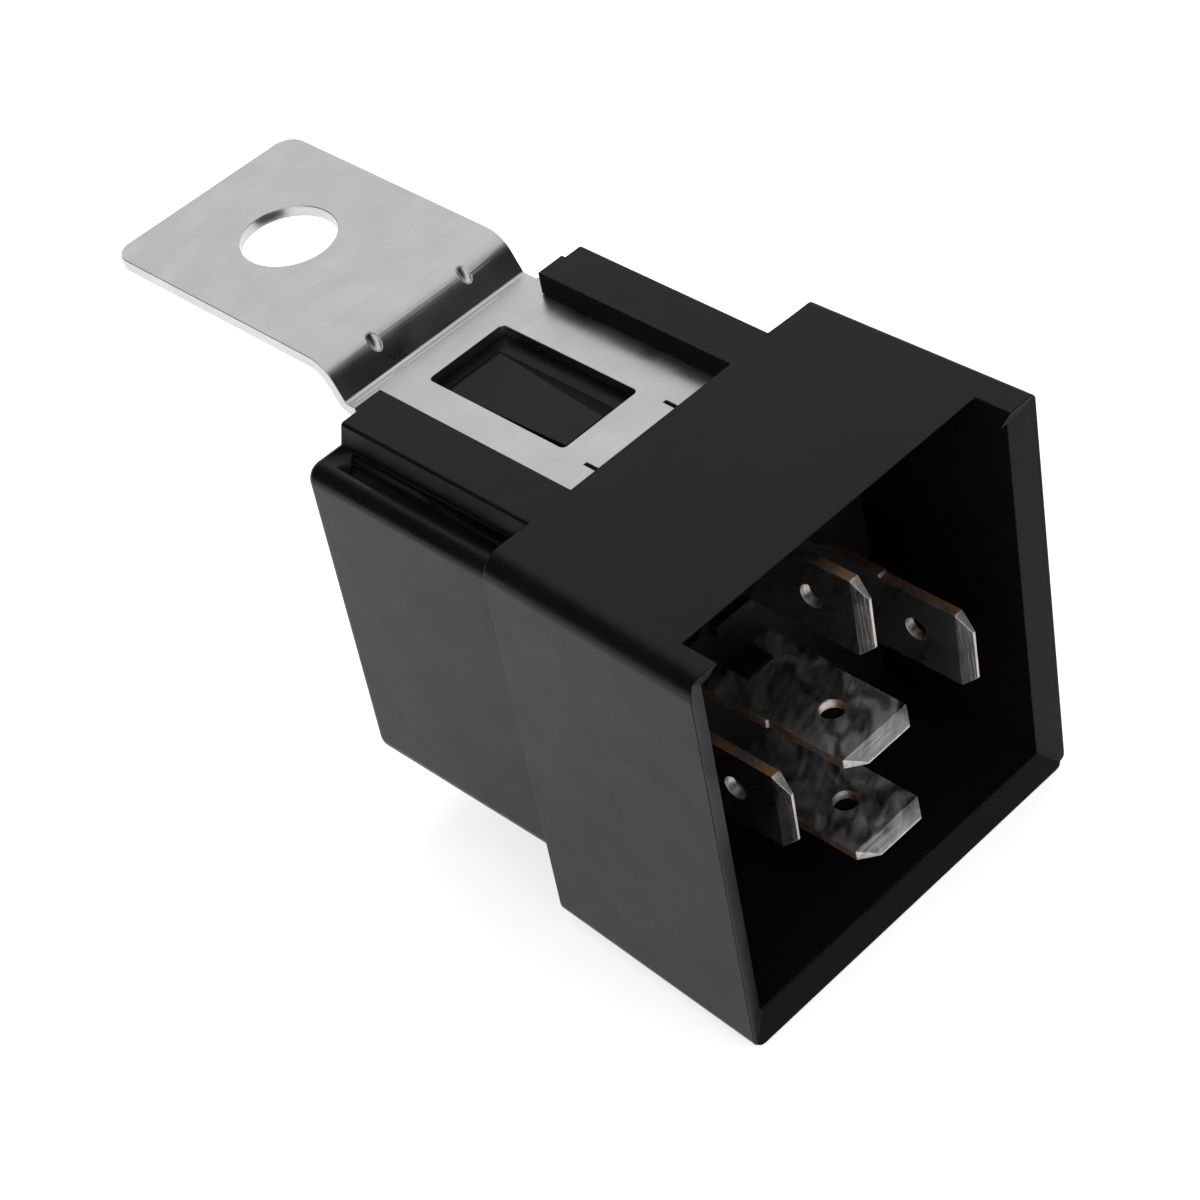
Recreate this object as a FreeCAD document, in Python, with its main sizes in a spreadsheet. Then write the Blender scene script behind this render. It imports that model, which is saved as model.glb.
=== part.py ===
import FreeCAD, Part
import Sketcher

import math
import os
import re

from FreeCAD import Placement, Rotation, Vector

# Five-blade automotive relay with a sealed skirt and a bent steel mounting ear.
# Frame: the origin is the centre of the ear's hole, on the ear's top face.
# X runs from the ear to the open end of the skirt, Z points up, out of the ear.
# All sizes are in millimetres. A size that ends in "drop" is measured down from the ear's top face.

SIZES = {
    "overcut": 1.0,
    # Mounting bracket, one piece of bent sheet
    "sheet_thickness": 0.9,
    "ear_width": 17.0,
    "ear_back": 9.4,
    "ear_corner": 1.5,
    "fixing_hole": 7.0,
    "joggle_start": 12.9,
    "joggle_run": 1.6,
    "joggle_drop": 2.65,
    "bend_inside": 0.45,
    "dimple_offset": 4.3,
    "dimple_radius": 1.0,
    "dimple_share": 0.42,
    "dimple_lift": 0.42,
    "plate_width": 19.2,
    "plate_end": 34.9,
    "shoulder_start": 16.0,
    "shoulder_radius": 1.0,
    "window_start": 17.4,
    "window_length": 12.8,
    "window_width": 7.0,
    "window_corner": 0.35,
    "slit_offset": 3.75,
    "slit_width": 0.3,
    "slit_length": 2.5,
    # Cover: body block, bracket rails, latch ramp
    "body_back": 17.2,
    "body_width": 29.66,
    "ledge_drop": 2.45,
    "far_bevel": 2.5,
    "body_bottom_drop": 28.85,
    "body_wall": 1.5,
    "body_side_radius": 1.2,
    "body_foot_radius": 1.6,
    "body_end_radius": 0.7,
    "rail_back": 17.65,
    "rail_drop": 0.85,
    "rail_width": 22.7,
    "rail_foot": 0.4,
    "rail_edge": 0.3,
    "rail_opening": 14.9,
    "lip_overhang": 0.35,
    "bracket_clearance": 0.05,
    "bracket_side_clearance": 0.2,
    "groove_share": 0.52,
    "groove_depth": 0.8,
    "groove_start": 18.9,
    "groove_offset": 0.1,
    "groove_run_in": 1.2,
    "groove_floor_share": 0.31,
    "ramp_setback": 0.9,
    "ramp_height": 0.75,
    "ramp_near": 3.1,
    "ramp_far": 2.05,
    "ramp_side_run": 1.7,
    "ramp_root": 0.2,
    "ramp_toe_length": 0.4,
    "ramp_toe_height": 0.12,
    # Cover: skirt round the blades
    "skirt_back": 35.15,
    "skirt_length": 18.25,
    "skirt_back_width": 31.2,
    "skirt_front_width": 32.3,
    "skirt_back_drop": 33.4,
    "skirt_front_drop": 34.2,
    "skirt_wall": 1.8,
    "skirt_near_radius": 1.6,
    "skirt_far_radius": 0.5,
    "skirt_foot_radius": 1.1,
    "rim_slope": 0.95,
    "rim_land": 0.12,
    "notch_depth": 2.8,
    "notch_post": 2.5,
    # Blades and their pattern
    "blade_width": 6.3,
    "blade_thickness": 0.8,
    "blade_tip": 52.85,
    "blade_bevel": 1.23,
    "blade_corner": 1.1,
    "blade_point": 0.38,
    "blade_hole": 1.8,
    "blade_hole_back": 4.85,
    "blade_step": 0.18,
    "blade_step_back": 7.8,
    "supply_drop": 8.6,
    "coil_blade_drop": 18.45,
    "coil_blade_offset": 8.95,
    "break_drop": 19.35,
    "make_drop": 28.0,
    # Header and its seal
    "header_thickness": 2.45,
    "header_gap": 0.6,
    "header_radius": 1.0,
    "key_length": 2.9,
    "key_width": 2.4,
    "key_shift": 0.4,
    "key_height": 0.9,
    "pip_length": 0.8,
    "pip_width": 3.8,
    "pip_height": 1.0,
    "pip_drop": 14.9,
    "recess_radius": 1.3,
    "recess_depth": 0.6,
    "recess_offset": 3.5,
    "recess_drop": 13.9,
    "pad_width": 3.0,
    "pad_foot": 1.6,
    "pad_head": 2.0,
    "seal_setback": 0.25,
    # Magnet system
    "yoke_top_drop": 7.4,
    "yoke_thickness": 1.5,
    "yoke_width": 11.0,
    "yoke_foot_drop": 20.0,
    "yoke_standoff": 1.35,
    "yoke_bend": 0.8,
    "coil_drop": 14.9,
    "flange_width": 11.4,
    "flange_thickness": 0.8,
    "flange_corner": 1.5,
    "winding_diameter": 10.6,
    "spool_wall": 0.6,
    "core_diameter": 5.0,
    "pole_diameter": 8.5,
    "pole_thickness": 1.0,
    "core_rivet_height": 0.3,
    "core_rivet_diameter": 4.0,
    "fit_clearance": 0.05,
    # Armature, its leaf and the contacts
    "open_angle": 3.0,
    "armature_thickness": 1.2,
    "armature_width": 10.0,
    "armature_length": 12.3,
    "air_gap": 0.05,
    "tail_height": 1.9,
    "tail_width": 3.6,
    "tail_neck": 0.3,
    "leaf_thickness": 0.25,
    "leaf_width": 5.0,
    "leaf_start": 2.4,
    "leaf_end": 18.3,
    "contact_drop": 24.2,
    "contact_diameter": 2.8,
    "contact_height": 0.6,
    "moving_height": 0.5,
    "contact_shank": 1.2,
    "contact_gap": 0.1,
    "make_gap": 0.02,
    "rivet_diameter": 1.2,
    "rivet_head": 2.0,
    "rivet_head_height": 0.35,
    "rivet_spacing": 4.6,
    "rivet_first": 4.4,
    "back_clearance": 0.4,
    "break_strip_drop": 22.0,
    "break_strip_side": 6.3,
    "break_strip_width": 3.2,
    "break_strip_root": 3.15,
    "make_strip_drop": 25.3,
    "carrier_reach": 1.7,
    "carrier_half": 3.0,
    "tab_reach": 10.0,
    "post_height": 2.15,
    "post_length": 3.45,
    # Return spring
    "spring_wire": 0.35,
    "spring_coil": 1.7,
    "spring_turns": 4.0,
    "spring_pitch": 0.9,
    "spring_rise": 1.1,
    "spring_hole": 0.8,
    "spring_leg": 0.6,
    "spring_bend": 0.2,
    "lug_distance": 8.0,
    "lug_thickness": 0.8,
    "lug_width": 3.0,
    "lug_height": 1.95,
    # Braid, resistor and coil ends
    "braid_diameter": 1.1,
    "braid_side": 7.0,
    "braid_weld_drop": 19.6,
    "braid_weld_side": 1.4,
    "braid_run": 9.0,
    "braid_bow": 0.5,
    "braid_bend": 1.1,
    "resistor_diameter": 1.9,
    "resistor_length": 6.0,
    "resistor_x": 34.8,
    "resistor_drop": 6.3,
    "lead_diameter": 0.5,
    "lead_bend": 0.75,
    "wire_diameter": 0.3,
    "wire_drop": 16.4,
    "wire_sag": 0.5,
    "wire_bend": 0.22,
}

# Heights and stations worked out from the sizes. Each formula may use those above it.
PLACES = {
    "plate_top": "-joggle_drop",
    "plate_bottom": "plate_top - sheet_thickness",
    "joggle_end": "joggle_start + joggle_run",
    "bend_shift": "sheet_thickness * tan(atan(joggle_drop / joggle_run) / 2)",
    "window_end": "window_start + window_length",
    "ledge": "-ledge_drop",
    "body_floor": "-body_bottom_drop",
    "rail_top": "-rail_drop",
    "slot_roof": "plate_top + bracket_clearance",
    "groove_near": "rail_width / 2 + rail_foot + groove_offset",
    "groove_width": "groove_share * ((body_width - rail_width) / 2 - rail_foot)",
    "groove_side": "groove_near + groove_width",
    "cavity_back": "rail_back + body_wall",
    "cavity_half": "body_width / 2 - body_wall",
    "cavity_roof": "plate_bottom - body_wall",
    "cavity_floor": "body_floor + body_wall",
    "skirt_front": "skirt_back + skirt_length",
    "shoulder": "skirt_back + skirt_wall",
    "side_slope": "(skirt_front_width - skirt_back_width) / 2 / skirt_length",
    "floor_slope": "(skirt_front_drop - skirt_back_drop) / skirt_length",
    "socket_roof": "rail_top - skirt_wall",
    "socket_half": "skirt_back_width / 2 - skirt_wall + side_slope * skirt_wall",
    "socket_floor": "skirt_wall - skirt_back_drop - floor_slope * skirt_wall",
    "mouth_half": "skirt_front_width / 2 - skirt_wall",
    "mouth_floor": "skirt_wall - skirt_front_drop",
    "rim_inner": "skirt_front - rim_slope",
    "rim_half": "mouth_half - side_slope * rim_slope",
    "rim_floor": "mouth_floor + floor_slope * rim_slope",
    "header_face": "shoulder + header_thickness",
    "header_half": "socket_half - header_gap",
    "header_top": "socket_roof - header_gap",
    "header_bottom": "socket_floor + header_gap",
    "seal_face": "header_face - seal_setback",
    "seal_half": "socket_half + side_slope * (seal_face - shoulder)",
    "seal_floor": "socket_floor - floor_slope * (seal_face - shoulder)",
    "foot_outer": "shoulder - yoke_standoff",
    "foot_inner": "foot_outer - yoke_thickness",
    "contact_travel": "(contact_drop - yoke_top_drop) * sin(open_angle)",
    "break_face": "cavity_back + back_clearance + blade_thickness + contact_height",
    "leaf_back": "break_face + contact_gap + moving_height + contact_travel",
    "leaf_front": "leaf_back + leaf_thickness",
    "armature_front": "leaf_front + armature_thickness",
    "pole_face": "armature_front + air_gap",
    "pole_back": "pole_face + pole_thickness",
    "make_face": "leaf_front + moving_height + make_gap",
    "spring_height": "-yoke_top_drop + spring_rise",
    "lug_face": "pole_face + lug_distance",
}


X_AXIS = Vector(1, 0, 0)
Y_AXIS = Vector(0, 1, 0)
Z_AXIS = Vector(0, 0, 1)
FAR = 100.0
NEAR = 0.01
PARALLEL_SHARE = 0.95
STEP_SHARE = 0.9
WIRE_SIDES = 6
BEND_STEPS = 3
COIL_STEPS = 12


def make_sheets(doc):
    """The driving sizes as plain numbers, and the places worked out from them."""
    sizes = doc.addObject("Spreadsheet::Sheet", "sizes")
    for row, (name, number) in enumerate(SIZES.items(), 1):
        sizes.set(f"A{row}", name)
        sizes.set(f"B{row}", str(number))
        sizes.setAlias(f"B{row}", name)
    places = doc.addObject("Spreadsheet::Sheet", "places")
    for row, (name, words) in enumerate(PLACES.items(), 1):
        places.set(f"A{row}", name)
        places.set(f"B{row}", "=" + formula(words))
        places.setAlias(f"B{row}", name)
    doc.recompute()
    return doc


def formula(words):
    """Points each name in an expression at the sheet that holds it."""
    def owner(match):
        name = match.group(0)
        if name in SIZES:
            return "sizes." + name
        if name in PLACES:
            return "places." + name
        return name
    return re.sub(r"[a-z][a-z_]+[a-z]", owner, str(words))


def bind(item, **properties):
    """Ties properties of an object to expressions; two underscores stand for a dot."""
    for name, words in properties.items():
        item.setExpression(name.replace("__", "."), formula(words))


def number(doc, name):
    """The present value of a named size or place."""
    if name in SIZES:
        return float(doc.sizes.get(name))
    return float(doc.places.get(name))


def new_body(doc, label):
    body = doc.addObject("PartDesign::Body", label)
    body.Label = label
    return body


def new_sketch(body, name, plane, offset):
    """An empty sketch on one of the body's own planes, moved along its normal."""
    drawing = body.newObject("Sketcher::SketchObject", name)
    support = next(item for item in body.Origin.OriginFeatures if item.Role == plane + "_Plane")
    drawing.AttachmentSupport = [(support, "")]
    drawing.MapMode = "FlatFace"
    bind(drawing, AttachmentOffset__Base__z=offset)
    return drawing


def draw_outline(drawing, points):
    """A closed outline whose corners are each tied to an (across, up) pair of expressions."""
    count = len(points)
    first = drawing.GeometryCount
    angles = [2 * math.pi * k / count for k in range(count)]
    ring = [Vector(math.cos(turn), math.sin(turn), 0) for turn in angles]
    for k in range(count):
        drawing.addGeometry(Part.LineSegment(ring[k], ring[(k + 1) % count]), False)
    for k in range(count):
        drawing.addConstraint(Sketcher.Constraint("Coincident", first + k, 2, first + (k + 1) % count, 1))
    for k, (across, up) in enumerate(points):
        for kind, words in (("DistanceX", across), ("DistanceY", up)):
            index = drawing.addConstraint(Sketcher.Constraint(kind, -1, 1, first + k, 1, 1.0))
            drawing.setExpression(f"Constraints[{index}]", formula(words))


def draw_circle(drawing, across, up, diameter):
    """A circle tied to its centre and diameter."""
    index = drawing.addGeometry(Part.Circle(Vector(0, 0, 0), Vector(0, 0, 1), 1), False)
    for kind, words in (("DistanceX", across), ("DistanceY", up)):
        place = drawing.addConstraint(Sketcher.Constraint(kind, -1, 1, index, 3, 1.0))
        drawing.setExpression(f"Constraints[{place}]", formula(words))
    place = drawing.addConstraint(Sketcher.Constraint("Diameter", index, 2.0))
    drawing.setExpression(f"Constraints[{place}]", formula(diameter))


def extrude(body, name, plane, outline, start, stop, cut=False):
    """Pads or pockets an outline, or a (across, up, diameter) circle, from start to stop."""
    flipped = plane == "XZ"
    offset = f"-({stop})" if flipped else start
    drawing = new_sketch(body, name + "_sketch", plane, offset)
    if isinstance(outline, tuple):
        draw_circle(drawing, *outline)
    else:
        draw_outline(drawing, outline)
    before = body.Shape.Volume if cut else 0.0
    feature = body.newObject("PartDesign::Pocket" if cut else "PartDesign::Pad", name)
    feature.Profile = drawing
    feature.Reversed = cut
    bind(feature, Length=f"({stop}) - ({start})")
    body.Document.recompute()
    if cut and not body.Shape.Volume < before:
        raise RuntimeError(f"{name} cuts nothing from {body.Label}")
    return feature


def rectangle(left, right, bottom, top):
    """The four corners of an upright rectangle."""
    return [(left, bottom), (right, bottom), (right, top), (left, top)]


def taper(body, name, back, front, cut=False):
    """A block with flat drafted sides between two sections: (station, half width, bottom, top)."""
    feature = body.newObject("PartDesign::SubtractiveWedge" if cut else "PartDesign::AdditiveWedge", name)
    feature.Placement = Placement(Vector(), Rotation(Z_AXIS, -90))
    bind(feature, Ymin=back[0], Xmin=f"-({back[1]})", Xmax=back[1], Zmin=back[2], Zmax=back[3],
         Ymax=front[0], X2min=f"-({front[1]})", X2max=front[1], Z2min=front[2], Z2max=front[3])
    body.Document.recompute()
    return feature


def edges_in(body, one, other, along=None):
    """Names of the edges in the box between two corners, and that run about along the given axis."""
    low = [min(pair) - NEAR for pair in zip(one, other)]
    high = [max(pair) + NEAR for pair in zip(one, other)]
    box = FreeCAD.BoundBox(*low, *high)
    names = []
    for index, edge in enumerate(body.Shape.Edges, 1):
        if not box.isInside(edge.BoundBox):
            continue
        if along is not None:
            span = edge.Vertexes[-1].Point - edge.Vertexes[0].Point
            if span.Length < NEAR or abs(span.normalize().dot(along)) < PARALLEL_SHARE:
                continue
        names.append(f"Edge{index}")
    return names


def dress(body, kind, name, edges, size):
    """Rounds or bevels edges of the body's present shape by a named size."""
    if not edges:
        raise RuntimeError(f"{name} finds no edge on {body.Label}")
    feature = body.newObject("PartDesign::" + kind, name)
    feature.Base = (body.Tip if body.Tip != feature else feature.BaseFeature, edges)
    if kind == "Fillet":
        bind(feature, Radius=size)
    else:
        bind(feature, Size=size)
    body.Document.recompute()
    return feature


def mirror(body, name, originals):
    """Repeats features on the other side of the middle plane."""
    feature = body.newObject("PartDesign::Mirrored", name)
    feature.Originals = originals
    plane = next(item for item in body.Origin.OriginFeatures if item.Role == "XZ_Plane")
    feature.MirrorPlane = (plane, [""])
    body.Tip = feature
    body.Document.recompute()
    return feature


def make_bracket(doc):
    """Bent sheet: flat ear with a hole, a joggle, and a plate with a window under the rails."""
    body = new_body(doc, "bracket")
    side = [
        ("-ear_back", "0"),
        ("joggle_start", "0"),
        ("joggle_end", "plate_top"),
        ("plate_end", "plate_top"),
        ("plate_end", "plate_bottom"),
        ("joggle_end - bend_shift", "plate_bottom"),
        ("joggle_start - bend_shift", "-sheet_thickness"),
        ("-ear_back", "-sheet_thickness"),
    ]
    extrude(body, "bent_strip", "XZ", side, "-plate_width / 2", "plate_width / 2")
    start = number(doc, "joggle_start")
    end = number(doc, "joggle_end")
    shift = number(doc, "bend_shift")
    top = number(doc, "plate_top")
    thick = number(doc, "sheet_thickness")
    outer = [(start, 0.0), (end - shift, top - thick)]
    inner = [(start - shift, -thick), (end, top)]
    for name, corners, size in (("outer_bends", outer, "bend_inside + sheet_thickness"),
                                ("inner_bends", inner, "bend_inside")):
        edges = []
        for along, up in corners:
            edges += edges_in(body, (along, -FAR, up), (along, FAR, up), Y_AXIS)
        dress(body, "Fillet", name, edges, size)
    strip = rectangle("-ear_back - overcut", "shoulder_start", "ear_width / 2", "plate_width / 2 + overcut")
    trim = extrude(body, "ear_side", "XY", strip, "plate_bottom - overcut", "overcut", cut=True)
    mirror(body, "ear_sides", [trim])
    half = number(doc, "ear_width") / 2
    back = number(doc, "ear_back")
    corner = number(doc, "shoulder_start")
    wide = number(doc, "plate_width") / 2
    edges = edges_in(body, (-back, -FAR, -FAR), (-back, FAR, 0), Z_AXIS)
    dress(body, "Fillet", "ear_corners", edges, "ear_corner")
    edges = []
    for near in (-half, half):
        edges += edges_in(body, (corner, near, -FAR), (corner, near, 0), Z_AXIS)
    step = f"{STEP_SHARE} * (plate_width - ear_width) / 2"
    dress(body, "Fillet", "inside_shoulders", edges, f"min(shoulder_radius; {step})")
    edges = []
    for near in (-wide, wide):
        edges += edges_in(body, (corner, near, -FAR), (corner, near, 0), Z_AXIS)
    dress(body, "Fillet", "outside_shoulders", edges, f"min(shoulder_radius; {step}) / 2")
    window = rectangle("window_start", "window_end", "-window_width / 2", "window_width / 2")
    extrude(body, "window", "XY", window, "plate_bottom - overcut", "plate_top + overcut", cut=True)
    lip = number(doc, "window_width") / 2
    start = number(doc, "window_start")
    end = number(doc, "window_end")
    edges = edges_in(body, (start, -lip, -FAR), (end, lip, 0), Z_AXIS)
    dress(body, "Fillet", "window_corners", edges, "window_corner")
    extrude(body, "fixing_hole_cut", "XY", ("0", "0", "fixing_hole"), "-sheet_thickness - overcut", "overcut",
            cut=True)
    slit = rectangle("plate_end - slit_length", "plate_end + overcut", "slit_offset - slit_width / 2",
                     "slit_offset + slit_width / 2")
    one = extrude(body, "slit", "XY", slit, "plate_bottom - overcut", "plate_top + overcut", cut=True)
    mirror(body, "slits", [one])
    return body


def make_dimples(doc, bracket):
    """Two stiffening dimples pressed into the upper bend of the joggle."""
    for side, name in ((-1, "near"), (1, "far")):
        ball = bracket.newObject("PartDesign::SubtractiveSphere", f"dimple_{name}")
        bind(ball, Radius="dimple_radius",
             Placement__Base__x="joggle_start + joggle_run * dimple_share + dimple_lift",
             Placement__Base__y=f"{side} * dimple_offset",
             Placement__Base__z="dimple_lift - joggle_drop * dimple_share")
        doc.recompute()


def make_cover(doc):
    """One moulding: body block, bracket rails with their latch ramp, and the skirt."""
    body = new_body(doc, "cover")
    outline = [
        ("-body_width / 2", "body_floor"),
        ("body_width / 2", "body_floor"),
        ("body_width / 2", "ledge - far_bevel"),
        ("body_width / 2 - far_bevel", "ledge"),
        ("-body_width / 2", "ledge"),
    ]
    extrude(body, "body_block", "YZ", outline, "body_back", "shoulder")
    half = number(doc, "body_width") / 2
    low = number(doc, "body_floor")
    high = number(doc, "ledge")
    back = number(doc, "body_back")
    edges = edges_in(body, (0, -half, high), (FAR, -half, high), X_AXIS)
    dress(body, "Fillet", "ledge_side", edges, "body_side_radius")
    edges = edges_in(body, (0, -half, low), (FAR, half, low), X_AXIS)
    edges += edges_in(body, (back, -half, low), (back, half, low), Y_AXIS)
    dress(body, "Fillet", "body_foot", edges, "body_foot_radius")
    edges = edges_in(body, (back, -half, low), (back, half, high))
    top = edges_in(body, (back, -half, high), (back, half, high), Y_AXIS)
    dress(body, "Fillet", "body_end", [name for name in edges if name not in top], "body_end_radius")
    make_rails(doc, body)
    make_groove(doc, body)
    make_ramp(doc, body)
    make_skirt(doc, body)
    cavity = rectangle("-cavity_half", "cavity_half", "cavity_floor", "cavity_roof")
    extrude(body, "mechanism_space", "YZ", cavity, "cavity_back", "shoulder + overcut", cut=True)
    return body


def make_rails(doc, body):
    """Two lipped rails, drafted outside, and the channel and slot that take the bracket."""
    slot_half = "plate_width / 2 + bracket_side_clearance"
    step = rectangle(f"-({slot_half})", slot_half, "plate_bottom", "ledge + overcut")
    extrude(body, "step_behind_rails", "YZ", step, "body_back - overcut", "rail_back", cut=True)
    rail = [
        ("rail_opening / 2", "plate_bottom"),
        ("rail_width / 2 + rail_foot", "plate_bottom"),
        ("rail_width / 2 + rail_foot", "ledge"),
        ("rail_width / 2", "rail_top"),
        ("rail_opening / 2", "rail_top"),
    ]
    rail_pad = extrude(body, "rail", "YZ", rail, "rail_back", "shoulder")
    lip = rectangle("rail_opening / 2", slot_half, "slot_roof", "rail_top")
    lip_pad = extrude(body, "rail_lip", "YZ", lip, "rail_back - lip_overhang", "shoulder")
    mirror(body, "rails", [rail_pad, lip_pad])
    start = number(doc, "rail_back")
    outer = number(doc, "rail_width") / 2
    high = number(doc, "rail_top")
    edges = edges_in(body, (start, -outer, high), (FAR, -outer, high), X_AXIS)
    edges += edges_in(body, (start, outer, high), (FAR, outer, high), X_AXIS)
    dress(body, "Fillet", "rail_edges", edges, "rail_edge")
    channel = rectangle("-rail_opening / 2", "rail_opening / 2", "plate_bottom", "rail_top + overcut")
    extrude(body, "bracket_channel", "YZ", channel, "body_back - overcut", "skirt_back", cut=True)
    slot = rectangle(f"-({slot_half})", slot_half, "plate_bottom", "slot_roof")
    extrude(body, "bracket_slot", "YZ", slot, "body_back - overcut", "skirt_back", cut=True)


def make_groove(doc, body):
    """A groove in the ledge along the foot of the near rail, which widens from a point."""
    outline = [
        ("groove_start", "-groove_near"),
        ("groove_start + groove_run_in", "-groove_side"),
        ("skirt_back", "-groove_side"),
        ("skirt_back", "-groove_near"),
    ]
    extrude(body, "groove", "XY", outline, "ledge - groove_depth", "ledge + overcut", cut=True)
    start = number(doc, "groove_start")
    near = number(doc, "groove_near")
    side = number(doc, "groove_side")
    floor = number(doc, "ledge") - number(doc, "groove_depth")
    dress(body, "Fillet", "groove_floor", edges_in(body, (start, -side, floor), (FAR, -near, floor), X_AXIS),
          "groove_floor_share * groove_width")


def make_ramp(doc, body):
    """The latch ramp in the channel floor, which stands behind the front edge of the window."""
    side = [
        ("window_start + ramp_setback", "plate_bottom - ramp_root"),
        ("window_end - bracket_side_clearance", "plate_bottom - ramp_root"),
        ("window_end - bracket_side_clearance", "plate_bottom + ramp_height"),
        ("window_start + ramp_setback + ramp_toe_length", "plate_bottom + ramp_toe_height"),
        ("window_start + ramp_setback", "plate_bottom"),
    ]
    extrude(body, "latch_ramp", "XZ", side, "-ramp_near", "ramp_far")
    slope = [
        ("ramp_far - ramp_side_run", "plate_bottom + ramp_height"),
        ("ramp_far", "plate_bottom"),
        ("ramp_far", "plate_bottom + ramp_height"),
    ]
    extrude(body, "ramp_side", "YZ", slope, "window_start", "window_end", cut=True)


def make_skirt(doc, body):
    """The drafted skirt: outer loft, rounded edges, socket, sloped rim and the notch in its top."""
    taper(body, "skirt", ("skirt_back", "skirt_back_width / 2", "-skirt_back_drop", "rail_top"),
          ("skirt_front", "skirt_front_width / 2", "-skirt_front_drop", "rail_top"))
    back = number(doc, "skirt_back")
    front = number(doc, "skirt_front")
    near = number(doc, "skirt_back_width") / 2
    wide = number(doc, "skirt_front_width") / 2
    low = -number(doc, "skirt_front_drop")
    high = number(doc, "rail_top")
    lifted = -number(doc, "skirt_back_drop")
    rounds = (
        ("near_edge", (back, -wide, high), (front, -near, high), "skirt_near_radius"),
        ("far_edge", (back, near, high), (front, wide, high), "skirt_far_radius"),
        ("foot_near", (back, -wide, low), (front, -near, lifted), "skirt_foot_radius"),
        ("foot_far", (back, near, low), (front, wide, lifted), "skirt_foot_radius"),
    )
    for name, start, stop, size in rounds:
        dress(body, "Fillet", name, edges_in(body, start, stop, X_AXIS), size)
    taper(body, "socket", ("shoulder", "socket_half", "socket_floor", "socket_roof"),
          ("skirt_front", "mouth_half", "mouth_floor", "socket_roof"), cut=True)
    taper(body, "rim_bevel", ("rim_inner", "rim_half", "rim_floor", "socket_roof"),
          ("skirt_front", "skirt_front_width / 2 - rim_land", "rim_land - skirt_front_drop",
           "rail_top - rim_land"), cut=True)
    opening = rectangle("-skirt_front_width / 2 + notch_post", "skirt_front_width / 2 - notch_post",
                        "socket_roof - overcut", "rail_top + overcut")
    extrude(body, "notch", "YZ", opening, "skirt_front - notch_depth", "skirt_front + overcut", cut=True)


def make_blade(doc, label, drop, offset="0", upright=False):
    """A tinned blade with a bevelled tip, a locking hole and a slightly wider root."""
    body = new_body(doc, label)
    half = "blade_width / 2"
    wide = "(blade_width / 2 + blade_step)"
    outline = [
        ("shoulder", f"-{wide}"),
        ("blade_tip - blade_step_back", f"-{wide}"),
        ("blade_tip - blade_step_back + blade_step", f"-{half}"),
        ("blade_tip - blade_bevel", f"-{half}"),
        ("blade_tip", f"blade_corner - {half}"),
        ("blade_tip", f"{half} - blade_corner"),
        ("blade_tip - blade_bevel", half),
        ("blade_tip - blade_step_back + blade_step", half),
        ("blade_tip - blade_step_back", wide),
        ("shoulder", wide),
    ]
    extrude(body, "blade", "XY", outline, "-blade_thickness / 2", "blade_thickness / 2")
    for name, sign in (("upper", "+"), ("lower", "-")):
        wedge = [
            ("blade_tip - blade_bevel", f"{sign}blade_thickness / 2"),
            ("blade_tip", f"{sign}blade_thickness / 2"),
            ("blade_tip", f"{sign}(blade_thickness / 2 - blade_thickness * blade_point)"),
        ]
        extrude(body, f"{name}_bevel", "XZ", wedge, "-blade_width", "blade_width", cut=True)
    extrude(body, "lock_hole", "XY", ("blade_tip - blade_hole_back", "0", "blade_hole"),
            "-blade_thickness", "blade_thickness", cut=True)
    if upright:
        body.Placement = Placement(Vector(), Rotation(X_AXIS, 90))
    bind(body, Placement__Base__y=offset, Placement__Base__z=f"-{drop}")
    doc.recompute()
    return body


def make_terminal_30(doc):
    """Supply blade; its root is bent over flat on the inside of the header."""
    body = make_blade(doc, "terminal_30", "supply_drop", upright=True)
    tab = rectangle("shoulder - blade_thickness", "shoulder", "-blade_width / 2", "blade_width / 2")
    extrude(body, "weld_tab", "XY", tab, "-blade_thickness / 2", "tab_reach")
    return body


def make_coil_terminal(doc, label, side):
    """Coil blade; a narrow post behind the header takes the coil end."""
    body = make_blade(doc, label, "coil_blade_drop", f"{side} * coil_blade_offset", upright=True)
    post = rectangle("shoulder - post_length", "shoulder", "blade_width / 2 - post_height", "blade_width / 2")
    extrude(body, "solder_post", "XY", post, "-blade_thickness / 2", "blade_thickness / 2")
    return body


def make_terminal_87a(doc):
    """Break blade; a formed strip passes the coil to the contact behind the moving leaf."""
    body = make_blade(doc, "terminal_87a", "break_drop")
    lower = "break_drop - break_strip_drop"
    half = "blade_thickness / 2"
    riser = rectangle("shoulder - blade_thickness", "shoulder", f"{lower} - {half}", half)
    extrude(body, "riser", "XZ", riser, "-break_strip_root", "break_strip_root")
    outer = "(break_strip_side + break_strip_width)"
    end = "(cavity_back + back_clearance)"
    inset = "(shoulder - blade_thickness)"
    strip = [
        ("shoulder", "-break_strip_root"),
        ("shoulder", "break_strip_root"),
        (inset, "break_strip_root"),
        (inset, outer),
        (end, outer),
        (end, "break_strip_side"),
        (f"{inset} - break_strip_width", "break_strip_side"),
        (f"{inset} - break_strip_width", "-break_strip_root"),
    ]
    extrude(body, "strip", "XY", strip, f"{lower} - {half}", f"{lower} + {half}")
    plate = rectangle("-carrier_half", outer, "break_drop - contact_drop - carrier_reach",
                      f"{lower} + {half}")
    extrude(body, "contact_plate", "YZ", plate, end, f"{end} + blade_thickness")
    return body


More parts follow.
